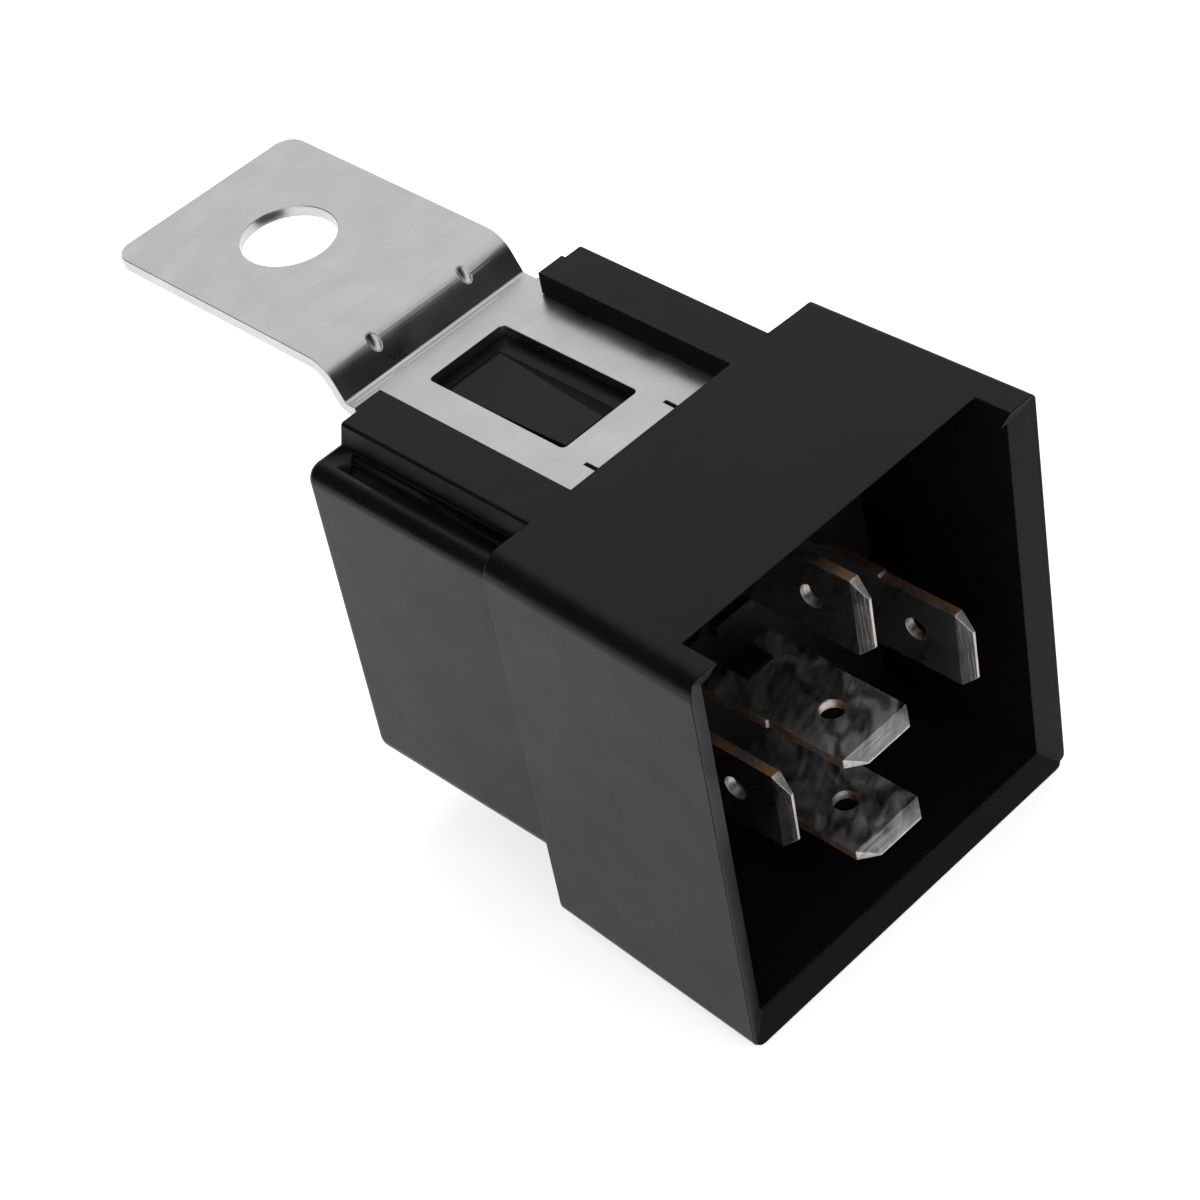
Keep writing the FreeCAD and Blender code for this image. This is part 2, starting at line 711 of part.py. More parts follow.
def make_terminal_87(doc):
    """Make blade; it steps up inside the header and carries the contact in front of the leaf."""
    body = make_blade(doc, "terminal_87", "make_drop")
    lift = "(make_drop - make_strip_drop)"
    half = "blade_thickness / 2"
    wide = "(blade_width / 2 + blade_step)"
    riser = rectangle("shoulder", "shoulder + blade_thickness", f"-{half}", f"{lift} + {half}")
    extrude(body, "riser", "XZ", riser, f"-{wide}", wide)
    strip = rectangle("make_face + contact_height", "shoulder + blade_thickness", f"{lift} - {half}",
                      f"{lift} + {half}")
    extrude(body, "strip", "XZ", strip, "-carrier_half", "carrier_half")
    plate = rectangle("-carrier_half", "carrier_half", f"{lift} - {half}",
                      "make_drop - contact_drop + carrier_reach")
    extrude(body, "contact_plate", "YZ", plate, "make_face + contact_height",
            "make_face + contact_height + blade_thickness")
    return body


def make_header(doc):
    """The moulded base that seats on the shoulder of the skirt and holds the blades."""
    body = new_body(doc, "header")
    plate = rectangle("-header_half", "header_half", "header_bottom", "header_top")
    extrude(body, "base_plate", "YZ", plate, "shoulder", "header_face")
    shoulder = number(doc, "shoulder")
    face = number(doc, "header_face")
    dress(body, "Fillet", "plate_corners", edges_in(body, (shoulder, -FAR, -FAR), (face, FAR, 0), X_AXIS),
          "header_radius")
    key = rectangle("key_shift - key_width / 2", "key_shift + key_width / 2", "-break_drop",
                    "blade_thickness / 2 - break_drop + key_height")
    extrude(body, "blade_key", "YZ", key, "header_face", "header_face + key_length")
    pip = rectangle("-pip_width / 2", "pip_width / 2", "-pip_drop - pip_height / 2",
                    "-pip_drop + pip_height / 2")
    extrude(body, "bare_block", "YZ", pip, "header_face", "header_face + pip_length")
    extrude(body, "round_recess", "YZ", ("-recess_offset", "-recess_drop", "2 * recess_radius"),
            "header_face - recess_depth", "header_face + overcut", cut=True)
    pad = rectangle("yoke_width / 2 - pad_width", "yoke_width / 2", "pad_foot - yoke_foot_drop",
                    "pad_head - coil_drop")
    one = extrude(body, "yoke_pad", "YZ", pad, "foot_outer", "shoulder")
    mirror(body, "yoke_pads", [one])
    half = "(blade_width / 2 + blade_step)"
    thin = "(blade_thickness / 2)"
    slots = (
        ("slot_30", f"-{thin}", thin, f"-supply_drop - {half}", f"-supply_drop + {half}"),
        ("slot_85", f"-coil_blade_offset - {thin}", f"-coil_blade_offset + {thin}",
         f"-coil_blade_drop - {half}", f"-coil_blade_drop + {half}"),
        ("slot_86", f"coil_blade_offset - {thin}", f"coil_blade_offset + {thin}",
         f"-coil_blade_drop - {half}", f"-coil_blade_drop + {half}"),
        ("slot_87a", f"-{half}", half, f"-break_drop - {thin}", f"-break_drop + {thin}"),
        ("slot_87", f"-{half}", half, f"-make_drop - {thin}", f"-make_drop + {thin}"),
    )
    for name, left, right, bottom, top in slots:
        extrude(body, name, "YZ", rectangle(left, right, bottom, top), "shoulder",
                "header_face + key_length + overcut", cut=True)
    step = rectangle(f"-{half}", half, f"-make_drop - {thin}", f"-make_strip_drop + {thin}")
    extrude(body, "slot_87_step", "YZ", step, "shoulder", "shoulder + blade_thickness", cut=True)
    return body


def make_sealant(doc):
    """The bead of potting between the header's edge and the skirt."""
    body = new_body(doc, "sealant")
    taper(body, "bead", ("shoulder", "socket_half", "socket_floor", "socket_roof"),
          ("seal_face", "seal_half", "seal_floor", "socket_roof"))
    hole = rectangle("-header_half", "header_half", "header_bottom", "header_top")
    extrude(body, "header_space", "YZ", hole, "shoulder - overcut", "header_face", cut=True)
    shoulder = number(doc, "shoulder")
    half = number(doc, "header_half")
    low = number(doc, "header_bottom")
    high = number(doc, "header_top")
    edges = edges_in(body, (shoulder, -half, low), (FAR, half, high), X_AXIS)
    dress(body, "Fillet", "inner_corners", edges, "header_radius")
    return body


def make_yoke(doc):
    """L-shaped iron: a foot on the header, a leg over the coil, and a raised spring lug."""
    body = new_body(doc, "yoke")
    side = [
        ("pole_face", "-yoke_top_drop"),
        ("foot_outer", "-yoke_top_drop"),
        ("foot_outer", "-yoke_foot_drop"),
        ("foot_inner", "-yoke_foot_drop"),
        ("foot_inner", "-yoke_top_drop - yoke_thickness"),
        ("pole_face", "-yoke_top_drop - yoke_thickness"),
    ]
    extrude(body, "bent_iron", "XZ", side, "-yoke_width / 2", "yoke_width / 2")
    outer = number(doc, "foot_outer")
    top = -number(doc, "yoke_top_drop")
    dress(body, "Fillet", "outer_bend", edges_in(body, (outer, -FAR, top), (outer, FAR, top), Y_AXIS),
          "yoke_bend")
    lug = rectangle("-lug_width / 2", "lug_width / 2", "-yoke_top_drop", "-yoke_top_drop + lug_height")
    extrude(body, "spring_lug", "YZ", lug, "lug_face", "lug_face + lug_thickness")
    extrude(body, "lug_hole", "YZ", ("0", "spring_height", "spring_hole"), "lug_face - overcut",
            "lug_face + lug_thickness + overcut", cut=True)
    extrude(body, "core_hole", "YZ", ("0", "-coil_drop", "core_diameter"), "foot_inner - overcut",
            "foot_outer + overcut", cut=True)
    return body


def make_core(doc):
    """Turned iron core with a pole shoe, riveted through the yoke's foot."""
    body = new_body(doc, "core")
    radius = "core_diameter / 2"
    profile = [
        ("pole_face", "0"),
        ("foot_outer + core_rivet_height", "0"),
        ("foot_outer + core_rivet_height", "core_rivet_diameter / 2"),
        ("foot_outer", radius),
        ("pole_back", radius),
        ("pole_back", "pole_diameter / 2"),
        ("pole_face", "pole_diameter / 2"),
    ]
    drawing = new_sketch(body, "turned_profile", "XZ", "0")
    draw_outline(drawing, profile)
    turned = body.newObject("PartDesign::Revolution", "turned_core")
    turned.Profile = drawing
    turned.ReferenceAxis = (drawing, ["H_Axis"])
    turned.Angle = 360
    doc.recompute()
    bind(body, Placement__Base__z="-coil_drop")
    return body


def make_bobbin(doc):
    """Moulded spool: two square flanges on a tube that slides over the core."""
    body = new_body(doc, "bobbin")
    half = "flange_width / 2"
    square = rectangle(f"-{half}", half, f"-{half}", half)
    extrude(body, "front_flange", "YZ", square, "pole_back", "pole_back + flange_thickness")
    extrude(body, "rear_flange", "YZ", square, "foot_inner - flange_thickness", "foot_inner")
    dress(body, "Fillet", "flange_corners", edges_in(body, (0, -FAR, -FAR), (FAR, FAR, FAR), X_AXIS),
          "flange_corner")
    bore = "core_diameter + 2 * fit_clearance"
    extrude(body, "tube", "YZ", ("0", "0", f"{bore} + 2 * spool_wall"), "pole_back", "foot_inner")
    extrude(body, "core_bore", "YZ", ("0", "0", bore), "pole_back - overcut", "foot_inner + overcut",
            cut=True)
    bind(body, Placement__Base__z="-coil_drop")
    return body


def make_winding(doc):
    """The wound copper wire as one solid between the flanges."""
    outer = doc.addObject("Part::Cylinder", "winding_outside")
    inner = doc.addObject("Part::Cylinder", "winding_inside")
    start = "pole_back + flange_thickness"
    length = "foot_inner - pole_back - 2 * flange_thickness"
    for item, radius in ((outer, "winding_diameter / 2"),
                         (inner, "core_diameter / 2 + fit_clearance + spool_wall")):
        item.Placement = Placement(Vector(), Rotation(Y_AXIS, 90))
        bind(item, Radius=radius, Height=length, Placement__Base__x=start, Placement__Base__z="-coil_drop")
    winding = doc.addObject("Part::Cut", "coil_winding")
    winding.Base = outer
    winding.Tool = inner
    return winding


def on_armature(doc, body):
    """Puts a body drawn about the pivot at its rest place, swung open from the pole."""
    body.Placement = Placement(Vector(), Rotation(Y_AXIS, number(doc, "open_angle")))
    bind(body, Placement__Rotation__Angle="open_angle", Placement__Base__x="pole_face",
         Placement__Base__z="-yoke_top_drop")
    doc.recompute()
    return body


ARMATURE_BACK = "(leaf_front - pole_face)"
LEAF_BACK = "(leaf_back - pole_face)"


def make_armature(doc):
    """Iron flap that rocks on the end of the yoke, with a narrow tail for the spring."""
    body = new_body(doc, "armature")
    outline = [
        ("-armature_width / 2", "-armature_length"),
        ("armature_width / 2", "-armature_length"),
        ("armature_width / 2", "-tail_neck"),
        ("tail_width / 2", "0"),
        ("tail_width / 2", "tail_height"),
        ("-tail_width / 2", "tail_height"),
        ("-tail_width / 2", "0"),
        ("-armature_width / 2", "-tail_neck"),
    ]
    extrude(body, "flap", "YZ", outline, ARMATURE_BACK, "-air_gap")
    extrude(body, "tail_hole", "YZ", ("0", "spring_rise", "spring_hole"), f"{ARMATURE_BACK} - overcut",
            "overcut", cut=True)
    for index in range(2):
        place = ("0", f"-rivet_first - {index} * rivet_spacing", "rivet_diameter")
        extrude(body, f"rivet_hole_{index + 1}", "YZ", place, f"{ARMATURE_BACK} - overcut", "overcut",
                cut=True)
    return on_armature(doc, body)


def make_leaf(doc):
    """Thin bronze leaf riveted to the back of the armature; its free end carries the contact."""
    body = new_body(doc, "contact_spring")
    outline = rectangle("-leaf_width / 2", "leaf_width / 2", "-leaf_end", "-leaf_start")
    extrude(body, "leaf", "YZ", outline, LEAF_BACK, ARMATURE_BACK)
    for index in range(2):
        place = ("0", f"-rivet_first - {index} * rivet_spacing", "rivet_diameter")
        extrude(body, f"rivet_hole_{index + 1}", "YZ", place, f"{LEAF_BACK} - overcut",
                f"{ARMATURE_BACK} + overcut", cut=True)
    extrude(body, "contact_hole", "YZ", ("0", "yoke_top_drop - contact_drop", "contact_shank"),
            f"{LEAF_BACK} - overcut", f"{ARMATURE_BACK} + overcut", cut=True)
    return on_armature(doc, body)


def make_moving_contact(doc):
    """Double-headed silver rivet at the free end of the leaf."""
    body = new_body(doc, "moving_contact")
    height = "yoke_top_drop - contact_drop"
    extrude(body, "back_head", "YZ", ("0", height, "contact_diameter"), f"{LEAF_BACK} - moving_height",
            LEAF_BACK)
    extrude(body, "shank", "YZ", ("0", height, "contact_shank"), LEAF_BACK, ARMATURE_BACK)
    extrude(body, "front_head", "YZ", ("0", height, "contact_diameter"), ARMATURE_BACK,
            f"{ARMATURE_BACK} + moving_height")
    return on_armature(doc, body)


def make_spring_rivets(doc):
    """The two rivets that hold the leaf to the armature, flush with the armature's front."""
    rivets = []
    for index in range(2):
        body = new_body(doc, f"leaf_rivet_{index + 1}")
        height = f"-rivet_first - {index} * rivet_spacing"
        extrude(body, "head", "YZ", ("0", height, "rivet_head"), f"{LEAF_BACK} - rivet_head_height",
                LEAF_BACK)
        extrude(body, "shank", "YZ", ("0", height, "rivet_diameter"), LEAF_BACK, "-air_gap")
        rivets.append(on_armature(doc, body))
    pair = doc.addObject("Part::Compound", "leaf_rivets")
    pair.Links = rivets
    return pair


def make_fixed_contact(doc, label, start):
    """Silver button on a contact plate."""
    button = doc.addObject("Part::Cylinder", label)
    button.Placement = Placement(Vector(), Rotation(Y_AXIS, 90))
    bind(button, Radius="contact_diameter / 2", Height="contact_height", Placement__Base__x=start,
         Placement__Base__z="-contact_drop")
    return button


def bent_path(corners, radius):
    """Points along straight runs through the corners, joined by stepped arcs of one radius."""
    points = [corners[0]]
    for before, corner, after in zip(corners, corners[1:], corners[2:]):
        into = (before - corner).normalize()
        out = (after - corner).normalize()
        half_turn = into.getAngle(out) / 2
        reach = radius / math.tan(half_turn)
        centre = corner + (into + out).normalize() * (radius / math.sin(half_turn))
        first = corner + into * reach - centre
        last = corner + out * reach - centre
        sweep = math.pi - 2 * half_turn
        for step in range(BEND_STEPS + 1):
            turn = sweep * step / BEND_STEPS
            spoke = first * math.sin(sweep - turn) + last * math.sin(turn)
            points.append(centre + spoke * (1 / math.sin(sweep)))
    return points + [corners[-1]]


def section(centre, across, up):
    """A many-sided outline about a point."""
    angles = [math.pi * (2 * k + 1) / WIRE_SIDES for k in range(WIRE_SIDES + 1)]
    return Part.makePolygon([centre + across * math.cos(turn) + up * math.sin(turn) for turn in angles])


def rod_along(points, radius):
    """A rod through the points; flat sides and straight runs keep a long wire light to mesh."""
    runs = [(after - before).normalize() for before, after in zip(points, points[1:])]
    turns = [(one + other).normalize() for one, other in zip(runs, runs[1:])]
    across = runs[0].cross(min((X_AXIS, Y_AXIS), key=lambda axis: abs(axis.dot(runs[0]))))
    sections = []
    for point, along in zip(points, [runs[0], *turns, runs[-1]]):
        up = along.cross(across).normalize()
        across = up.cross(along)
        sections.append(section(point, across * radius, up * radius))
    return Part.makeLoft(sections, True, True)


def set_shape(doc, label, shape):
    item = doc.addObject("Part::Feature", label)
    item.Shape = shape
    return item


def make_return_spring(doc):
    """Tension spring on top of the yoke, from the armature's tail to the lug."""
    wire = number(doc, "spring_wire") / 2
    coil = number(doc, "spring_coil") / 2 - wire
    pitch = number(doc, "spring_pitch")
    height = number(doc, "spring_height")
    leg = number(doc, "spring_leg")
    bend = number(doc, "spring_bend")
    tail = number(doc, "pole_face") - number(doc, "armature_thickness") - 2 * wire - number(doc, "air_gap")
    far = number(doc, "lug_face") + number(doc, "lug_thickness") + wire
    steps = round(number(doc, "spring_turns") * COIL_STEPS)
    start = (number(doc, "pole_face") + number(doc, "lug_face") - pitch * steps / COIL_STEPS) / 2
    points = []
    for step in range(steps + 1):
        turn = 2 * math.pi * step / COIL_STEPS
        across = Vector(0, math.cos(turn), math.sin(turn)) * coil
        points.append(Vector(start + pitch * step / COIL_STEPS, 0, height) + across)
    hooks = []
    for hook, end, after in ((tail, points[0], points[1]), (far, points[-1], points[-2])):
        corners = [
            Vector(hook, 0, height + leg),
            Vector(hook, 0, height),
            Vector(end.x, 0, height),
            end,
            after,
        ]
        hooks.append(bent_path(corners, bend))
    shape = rod_along(hooks[0] + points[2:-2] + hooks[1][::-1], wire)
    return set_shape(doc, "return_spring", shape)


def make_braid(doc):
    """Copper braid from the supply blade's tab round the coil to the back of the leaf."""
    radius = number(doc, "braid_diameter") / 2
    tab = number(doc, "shoulder") - number(doc, "blade_thickness")
    side = -number(doc, "braid_side")
    weld_side = -number(doc, "braid_weld_side")
    top = -number(doc, "supply_drop")
    weld = -number(doc, "braid_weld_drop")
    swing = math.radians(number(doc, "open_angle"))
    arm = number(doc, "braid_weld_drop") - number(doc, "yoke_top_drop")
    leaf = number(doc, "leaf_back") - arm * math.sin(swing)
    behind = leaf - number(doc, "contact_gap") - radius
    corners = [
        Vector(tab, side, top),
        Vector(behind + number(doc, "braid_run"), side, top),
        Vector(behind, side - number(doc, "braid_bow"), weld),
        Vector(behind, weld_side, weld),
    ]
    path = bent_path(corners, number(doc, "braid_bend"))
    return set_shape(doc, "braid", rod_along(path, radius))


def make_resistor(doc):
    """Suppression resistor over the yoke, with its leads bent down to the coil posts."""
    radius = number(doc, "resistor_diameter") / 2
    half = number(doc, "resistor_length") / 2
    wire = number(doc, "lead_diameter") / 2
    along = number(doc, "resistor_x")
    height = -number(doc, "resistor_drop")
    side = number(doc, "coil_blade_offset")
    post = -number(doc, "coil_blade_drop") + number(doc, "blade_width") / 2
    shape = Part.makeCylinder(radius, 2 * half, Vector(along, -half, height), Y_AXIS)
    corners = [
        Vector(along, -side, post),
        Vector(along, -side, height),
        Vector(along, side, height),
        Vector(along, side, post),
    ]
    lead = rod_along(bent_path(corners, number(doc, "lead_bend")), wire)
    return set_shape(doc, "suppression_resistor", shape.fuse(lead))


def make_coil_end(doc, label, side):
    """One end of the coil's wire, from the rear flange to its post."""
    radius = number(doc, "wire_diameter") / 2
    along = number(doc, "foot_inner") - number(doc, "flange_thickness") / 2
    flange = number(doc, "flange_width") / 2
    post = number(doc, "coil_blade_offset") - number(doc, "blade_thickness") / 2
    height = -number(doc, "wire_drop")
    sag = number(doc, "wire_sag")
    run = (post - flange) / 3
    corners = [
        Vector(along, side * flange, height),
        Vector(along, side * (flange + run), height),
        Vector(along, side * (post - run), height - sag),
        Vector(along, side * post, height - sag),
    ]
    path = bent_path(corners, number(doc, "wire_bend"))
    return set_shape(doc, label, rod_along(path, radius))


def build():
    """Makes every piece and writes each one to its own file."""
    doc = make_sheets(FreeCAD.newDocument("relay"))
    bracket = make_bracket(doc)
    make_dimples(doc, bracket)
    pieces = [
        bracket,
        make_cover(doc),
        make_header(doc),
        make_sealant(doc),
        make_terminal_30(doc),
        make_coil_terminal(doc, "terminal_85", -1),
        make_coil_terminal(doc, "terminal_86", 1),
        make_terminal_87(doc),
        make_terminal_87a(doc),
        make_yoke(doc),
        make_core(doc),
        make_bobbin(doc),
        make_winding(doc),
        make_armature(doc),
        make_leaf(doc),
        make_moving_contact(doc),
        make_spring_rivets(doc),
        make_fixed_contact(doc, "fixed_contact_87a", "break_face - contact_height"),
        make_fixed_contact(doc, "fixed_contact_87", "make_face"),
        make_return_spring(doc),
        make_braid(doc),
        make_resistor(doc),
        make_coil_end(doc, "coil_end_85", -1),
        make_coil_end(doc, "coil_end_86", 1),
    ]
    doc.recompute()
    faults = [item.Name for item in doc.Objects if "Invalid" in item.State or "Error" in item.State]
    if faults:
        raise RuntimeError("objects failed: " + ", ".join(faults))
    for piece in pieces:
        shape = piece.Shape
        if shape.isNull() or not shape.isValid() or not shape.Solids:
            raise RuntimeError(f"{piece.Label} has no valid solid")
    os.makedirs("parts", exist_ok=True)
    for piece in pieces:
        piece.Shape.exportStep(f"parts/{piece.Label}.step")
        box = piece.Shape.BoundBox
        print(f"{piece.Label:22s} solids {len(piece.Shape.Solids)} faces {len(piece.Shape.Faces):3d} "
              f"x {box.XMin:6.2f}..{box.XMax:6.2f} y {box.YMin:6.2f}..{box.YMax:6.2f} "
              f"z {box.ZMin:6.2f}..{box.ZMax:6.2f}")


build()
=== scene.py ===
import math

import bmesh
import bpy
from mathutils import Matrix, Vector


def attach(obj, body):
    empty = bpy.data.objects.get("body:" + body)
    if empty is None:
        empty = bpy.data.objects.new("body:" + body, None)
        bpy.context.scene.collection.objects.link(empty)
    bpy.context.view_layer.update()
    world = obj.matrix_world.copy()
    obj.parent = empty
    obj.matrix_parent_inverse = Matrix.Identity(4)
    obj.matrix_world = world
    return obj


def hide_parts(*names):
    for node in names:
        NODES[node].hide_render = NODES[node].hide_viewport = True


# Looks of a five-blade automotive relay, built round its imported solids.
# The relay's sizes are written in millimetres and multiplied by MM where they are used.
# The camera's, floor's, cards' and lamps' are in metres.

MM = 0.001

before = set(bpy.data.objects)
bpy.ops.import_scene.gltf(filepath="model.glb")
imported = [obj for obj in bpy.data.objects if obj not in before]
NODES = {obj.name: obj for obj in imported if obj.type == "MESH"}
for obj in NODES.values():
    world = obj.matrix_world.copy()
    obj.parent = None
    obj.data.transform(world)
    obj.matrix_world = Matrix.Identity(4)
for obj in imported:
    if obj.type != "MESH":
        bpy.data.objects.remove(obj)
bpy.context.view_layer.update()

# Camera, as fitted to the photograph
CAMERA_PLACE = Vector((0.15993, -0.10446, 0.13097))
CAMERA_FORWARD = Vector((-0.5852, 0.4646, -0.6646))
CAMERA_UP = Vector((-0.3877, 0.5595, 0.7325))
CAMERA_LENS = 98.4
CAMERA_SHIFT = (-0.0136, -0.0112)
TARGET = Vector((0.0284, 0.0, -0.0184))

# Studio
FLOOR_HEIGHT = -34.25 * MM
FLOOR_SIZE = 4.0
FLOOR_TONE = 0.8
FLOOR_GLOW = 0.6
WORLD_LIGHT = 0.45
FLAG_DISTANCE = 0.42

# Numbers of the axes, and of a Mix node's sockets when it mixes colours
LENGTHWAYS, SIDEWAYS, UPWARDS = 0, 1, 2
MIX_COLOURS = (6, 7)
MIX_RESULT = 2

# Eased edges of the dressed pieces: widths in millimetres, and the degrees above which an edge is eased
EASED_EDGE = 0.07
BLADE_EDGE = 0.05
SHARP_ANGLE = 32
BLADE_ANGLE = 9
RAMP_ANGLE = 6
NO_ANGLE = 180
FLAT_ANGLE = math.radians(1)
SAME_POINT = 0.001
ARC_STEPS = 10


class Finish:
    """A node material round one Principled shader, with the node moves that the finishes share."""

    def __init__(self, name, colour, roughness, metallic=0.0, specular=0.5):
        self.material = bpy.data.materials.new(name)
        self.material.use_nodes = True
        self.tree = self.material.node_tree
        self.shader = self.tree.nodes["Principled BSDF"]
        self.shader.inputs["Base Color"].default_value = (*colour, 1.0)
        self.shader.inputs["Roughness"].default_value = roughness
        self.shader.inputs["Metallic"].default_value = metallic
        self.shader.inputs["Specular IOR Level"].default_value = specular
        self.coordinates = self.add("ShaderNodeTexCoord")
        self.place = self.scaled(self.coordinates.outputs["Object"], (1 / MM, 1 / MM, 1 / MM))

    def add(self, kind, inputs=(), **settings):
        """A node; inputs are (socket, value or source) pairs."""
        item = self.tree.nodes.new(kind)
        for name, value in settings.items():
            setattr(item, name, value)
        for socket, value in inputs:
            if isinstance(value, bpy.types.NodeSocket):
                self.tree.links.new(value, item.inputs[socket])
            else:
                item.inputs[socket].default_value = value
        return item

    def scaled(self, vector, scale):
        """A vector with each component multiplied by its own factor."""
        return self.add("ShaderNodeVectorMath", [(0, vector), (1, scale)], operation="MULTIPLY").outputs[0]

    def turned(self, vector, angle, axis="Z_AXIS"):
        """A vector turned about an axis through the origin."""
        inputs = [("Vector", vector), ("Angle", math.radians(angle))]
        return self.add("ShaderNodeVectorRotate", inputs, rotation_type=axis).outputs[0]

    def noise(self, scale, detail=2.0, stretch=(1, 1, 1), roughness=0.5, distortion=0.0, turn=0.0,
              axis="Z_AXIS"):
        """Noise with so many waves to a millimetre, stretched along an axis by a small factor."""
        vector = self.turned(self.place, turn, axis) if turn else self.place
        inputs = [("Vector", self.scaled(vector, stretch)), ("Scale", scale), ("Detail", detail),
                  ("Roughness", roughness), ("Distortion", distortion)]
        return self.add("ShaderNodeTexNoise", inputs).outputs["Fac"]

    def spread(self, value, low, high, start=0.0, stop=1.0):
        """Maps a value from low..high to start..stop, clamped."""
        source = [("Value", value), ("From Min", low), ("From Max", high)]
        target = [("To Min", start), ("To Max", stop)]
        return self.add("ShaderNodeMapRange", source + target).outputs["Result"]

    def maths(self, operation, first, second=0.0):
        """One arithmetic step on two values."""
        return self.add("ShaderNodeMath", [(0, first), (1, second)], operation=operation).outputs[0]

    def along(self, source, axis):
        """One component of a vector."""
        return self.add("ShaderNodeSeparateXYZ", [("Vector", source)]).outputs[axis]

    def facing(self, axis):
        """How squarely the surface faces along an axis of the object, 0 to 1."""
        return self.maths("ABSOLUTE", self.along(self.coordinates.outputs["Normal"], axis))

    def blend(self, factor, first, second):
        """Colour between two colours."""
        item = self.add("ShaderNodeMix", [("Factor", factor)], data_type="RGBA")
        for index, colour in zip(MIX_COLOURS, (first, second)):
            if isinstance(colour, bpy.types.NodeSocket):
                self.tree.links.new(colour, item.inputs[index])
            else:
                item.inputs[index].default_value = (*colour, 1.0)
        return item.outputs[MIX_RESULT]

    def scratches(self, scale, turn, length=0.04, axis="Z_AXIS"):
        """Thin broken lines in one direction across an axis, 0 to 1."""
        lines = self.noise(scale, 1.0, (length, 1.0, 1.0), turn=turn, axis=axis)
        patches = self.spread(self.noise(0.35, 2.0), 0.45, 0.6)
        return self.maths("MULTIPLY", self.spread(lines, 0.62, 0.72), patches)

    def set(self, socket, source):
        """Feeds a socket of the shader."""
        self.tree.links.new(source, self.shader.inputs[socket])

    def bump(self, height, distance):
        """Relief from a height between 0 and 1, so many millimetres deep, over any relief set before."""
        inputs = [("Height", height), ("Distance", distance * MM), ("Strength", 1.0)]
        normal = self.shader.inputs["Normal"]
        if normal.is_linked:
            inputs.append(("Normal", normal.links[0].from_socket))
        item = self.add("ShaderNodeBump", inputs)
        self.tree.links.new(item.outputs["Normal"], normal)


# Studio


def make_camera():
    """The camera that took the photograph."""
    data = bpy.data.cameras.new("camera")
    data.lens = CAMERA_LENS
    data.shift_x, data.shift_y = CAMERA_SHIFT
    camera = bpy.data.objects.new("camera", data)
    bpy.context.scene.collection.objects.link(camera)
    forward = CAMERA_FORWARD.normalized()
    right = forward.cross(CAMERA_UP).normalized()
    up = right.cross(forward)
    turn = Matrix((right, up, -forward)).transposed().to_4x4()
    camera.matrix_world = Matrix.Translation(CAMERA_PLACE) @ turn
    bpy.context.scene.camera = camera


def background_rays(tree):
    """1 for camera, glossy and transmission rays."""
    path = tree.nodes.new("ShaderNodeLightPath")
    total = path.outputs["Is Camera Ray"]
    for name in ("Is Glossy Ray", "Is Transmission Ray"):
        item = tree.nodes.new("ShaderNodeMath")
        item.operation = "MAXIMUM"
        tree.links.new(total, item.inputs[0])
        tree.links.new(path.outputs[name], item.inputs[1])
        total = item.outputs[0]
    return total


def make_world():
    """White to the camera and in reflections, dimmer as a light."""
    world = bpy.data.worlds.new("studio")
    bpy.context.scene.world = world
    world.use_nodes = True
    tree = world.node_tree
    shade = tree.nodes["Background"]
    shade.inputs["Color"].default_value = (1, 1, 1, 1)
    strength = tree.nodes.new("ShaderNodeMapRange")
    tree.links.new(background_rays(tree), strength.inputs["Value"])
    strength.inputs["To Min"].default_value = WORLD_LIGHT
    strength.inputs["To Max"].default_value = 1.0
    tree.links.new(strength.outputs["Result"], shade.inputs["Strength"])


def plane(name, centre, toward, width, height):
    """A rectangle that faces a point."""
    mesh = bpy.data.meshes.new(name)
    half, tall = width / 2, height / 2
    corners = [(-half, -tall, 0), (half, -tall, 0), (half, tall, 0), (-half, tall, 0)]
    mesh.from_pydata(corners, [], [(0, 1, 2, 3)])
    item = bpy.data.objects.new(name, mesh)
    bpy.context.scene.collection.objects.link(item)
    normal = (Vector(toward) - Vector(centre)).normalized()
    turn = normal.to_track_quat("Z", "Y").to_matrix().to_4x4()
    item.matrix_world = Matrix.Translation(centre) @ turn
    return item


def plain_shader(name, tone):
    """A matt material of one grey."""
    material = bpy.data.materials.new(name)
    material.use_nodes = True
    shader = material.node_tree.nodes["Principled BSDF"]
    shader.inputs["Base Color"].default_value = (tone, tone, tone, 1)
    shader.inputs["Roughness"].default_value = 1.0
    shader.inputs["Specular IOR Level"].default_value = 0.0
    return material, shader


def make_floor():
    """A pale floor: white to the camera and in reflections, yet it keeps the shadow."""
    centre = (TARGET.x, TARGET.y, FLOOR_HEIGHT)
    floor = plane("floor", centre, (TARGET.x, TARGET.y, 1.0), FLOOR_SIZE, FLOOR_SIZE)
    material, shader = plain_shader("floor", FLOOR_TONE)
    tree = material.node_tree
    shader.inputs["Emission Color"].default_value = (1, 1, 1, 1)
    glow = tree.nodes.new("ShaderNodeMath")
    glow.operation = "MULTIPLY"
    tree.links.new(background_rays(tree), glow.inputs[0])
    glow.inputs[1].default_value = FLOOR_GLOW
    tree.links.new(glow.outputs[0], shader.inputs["Emission Strength"])
    floor.data.materials.append(material)


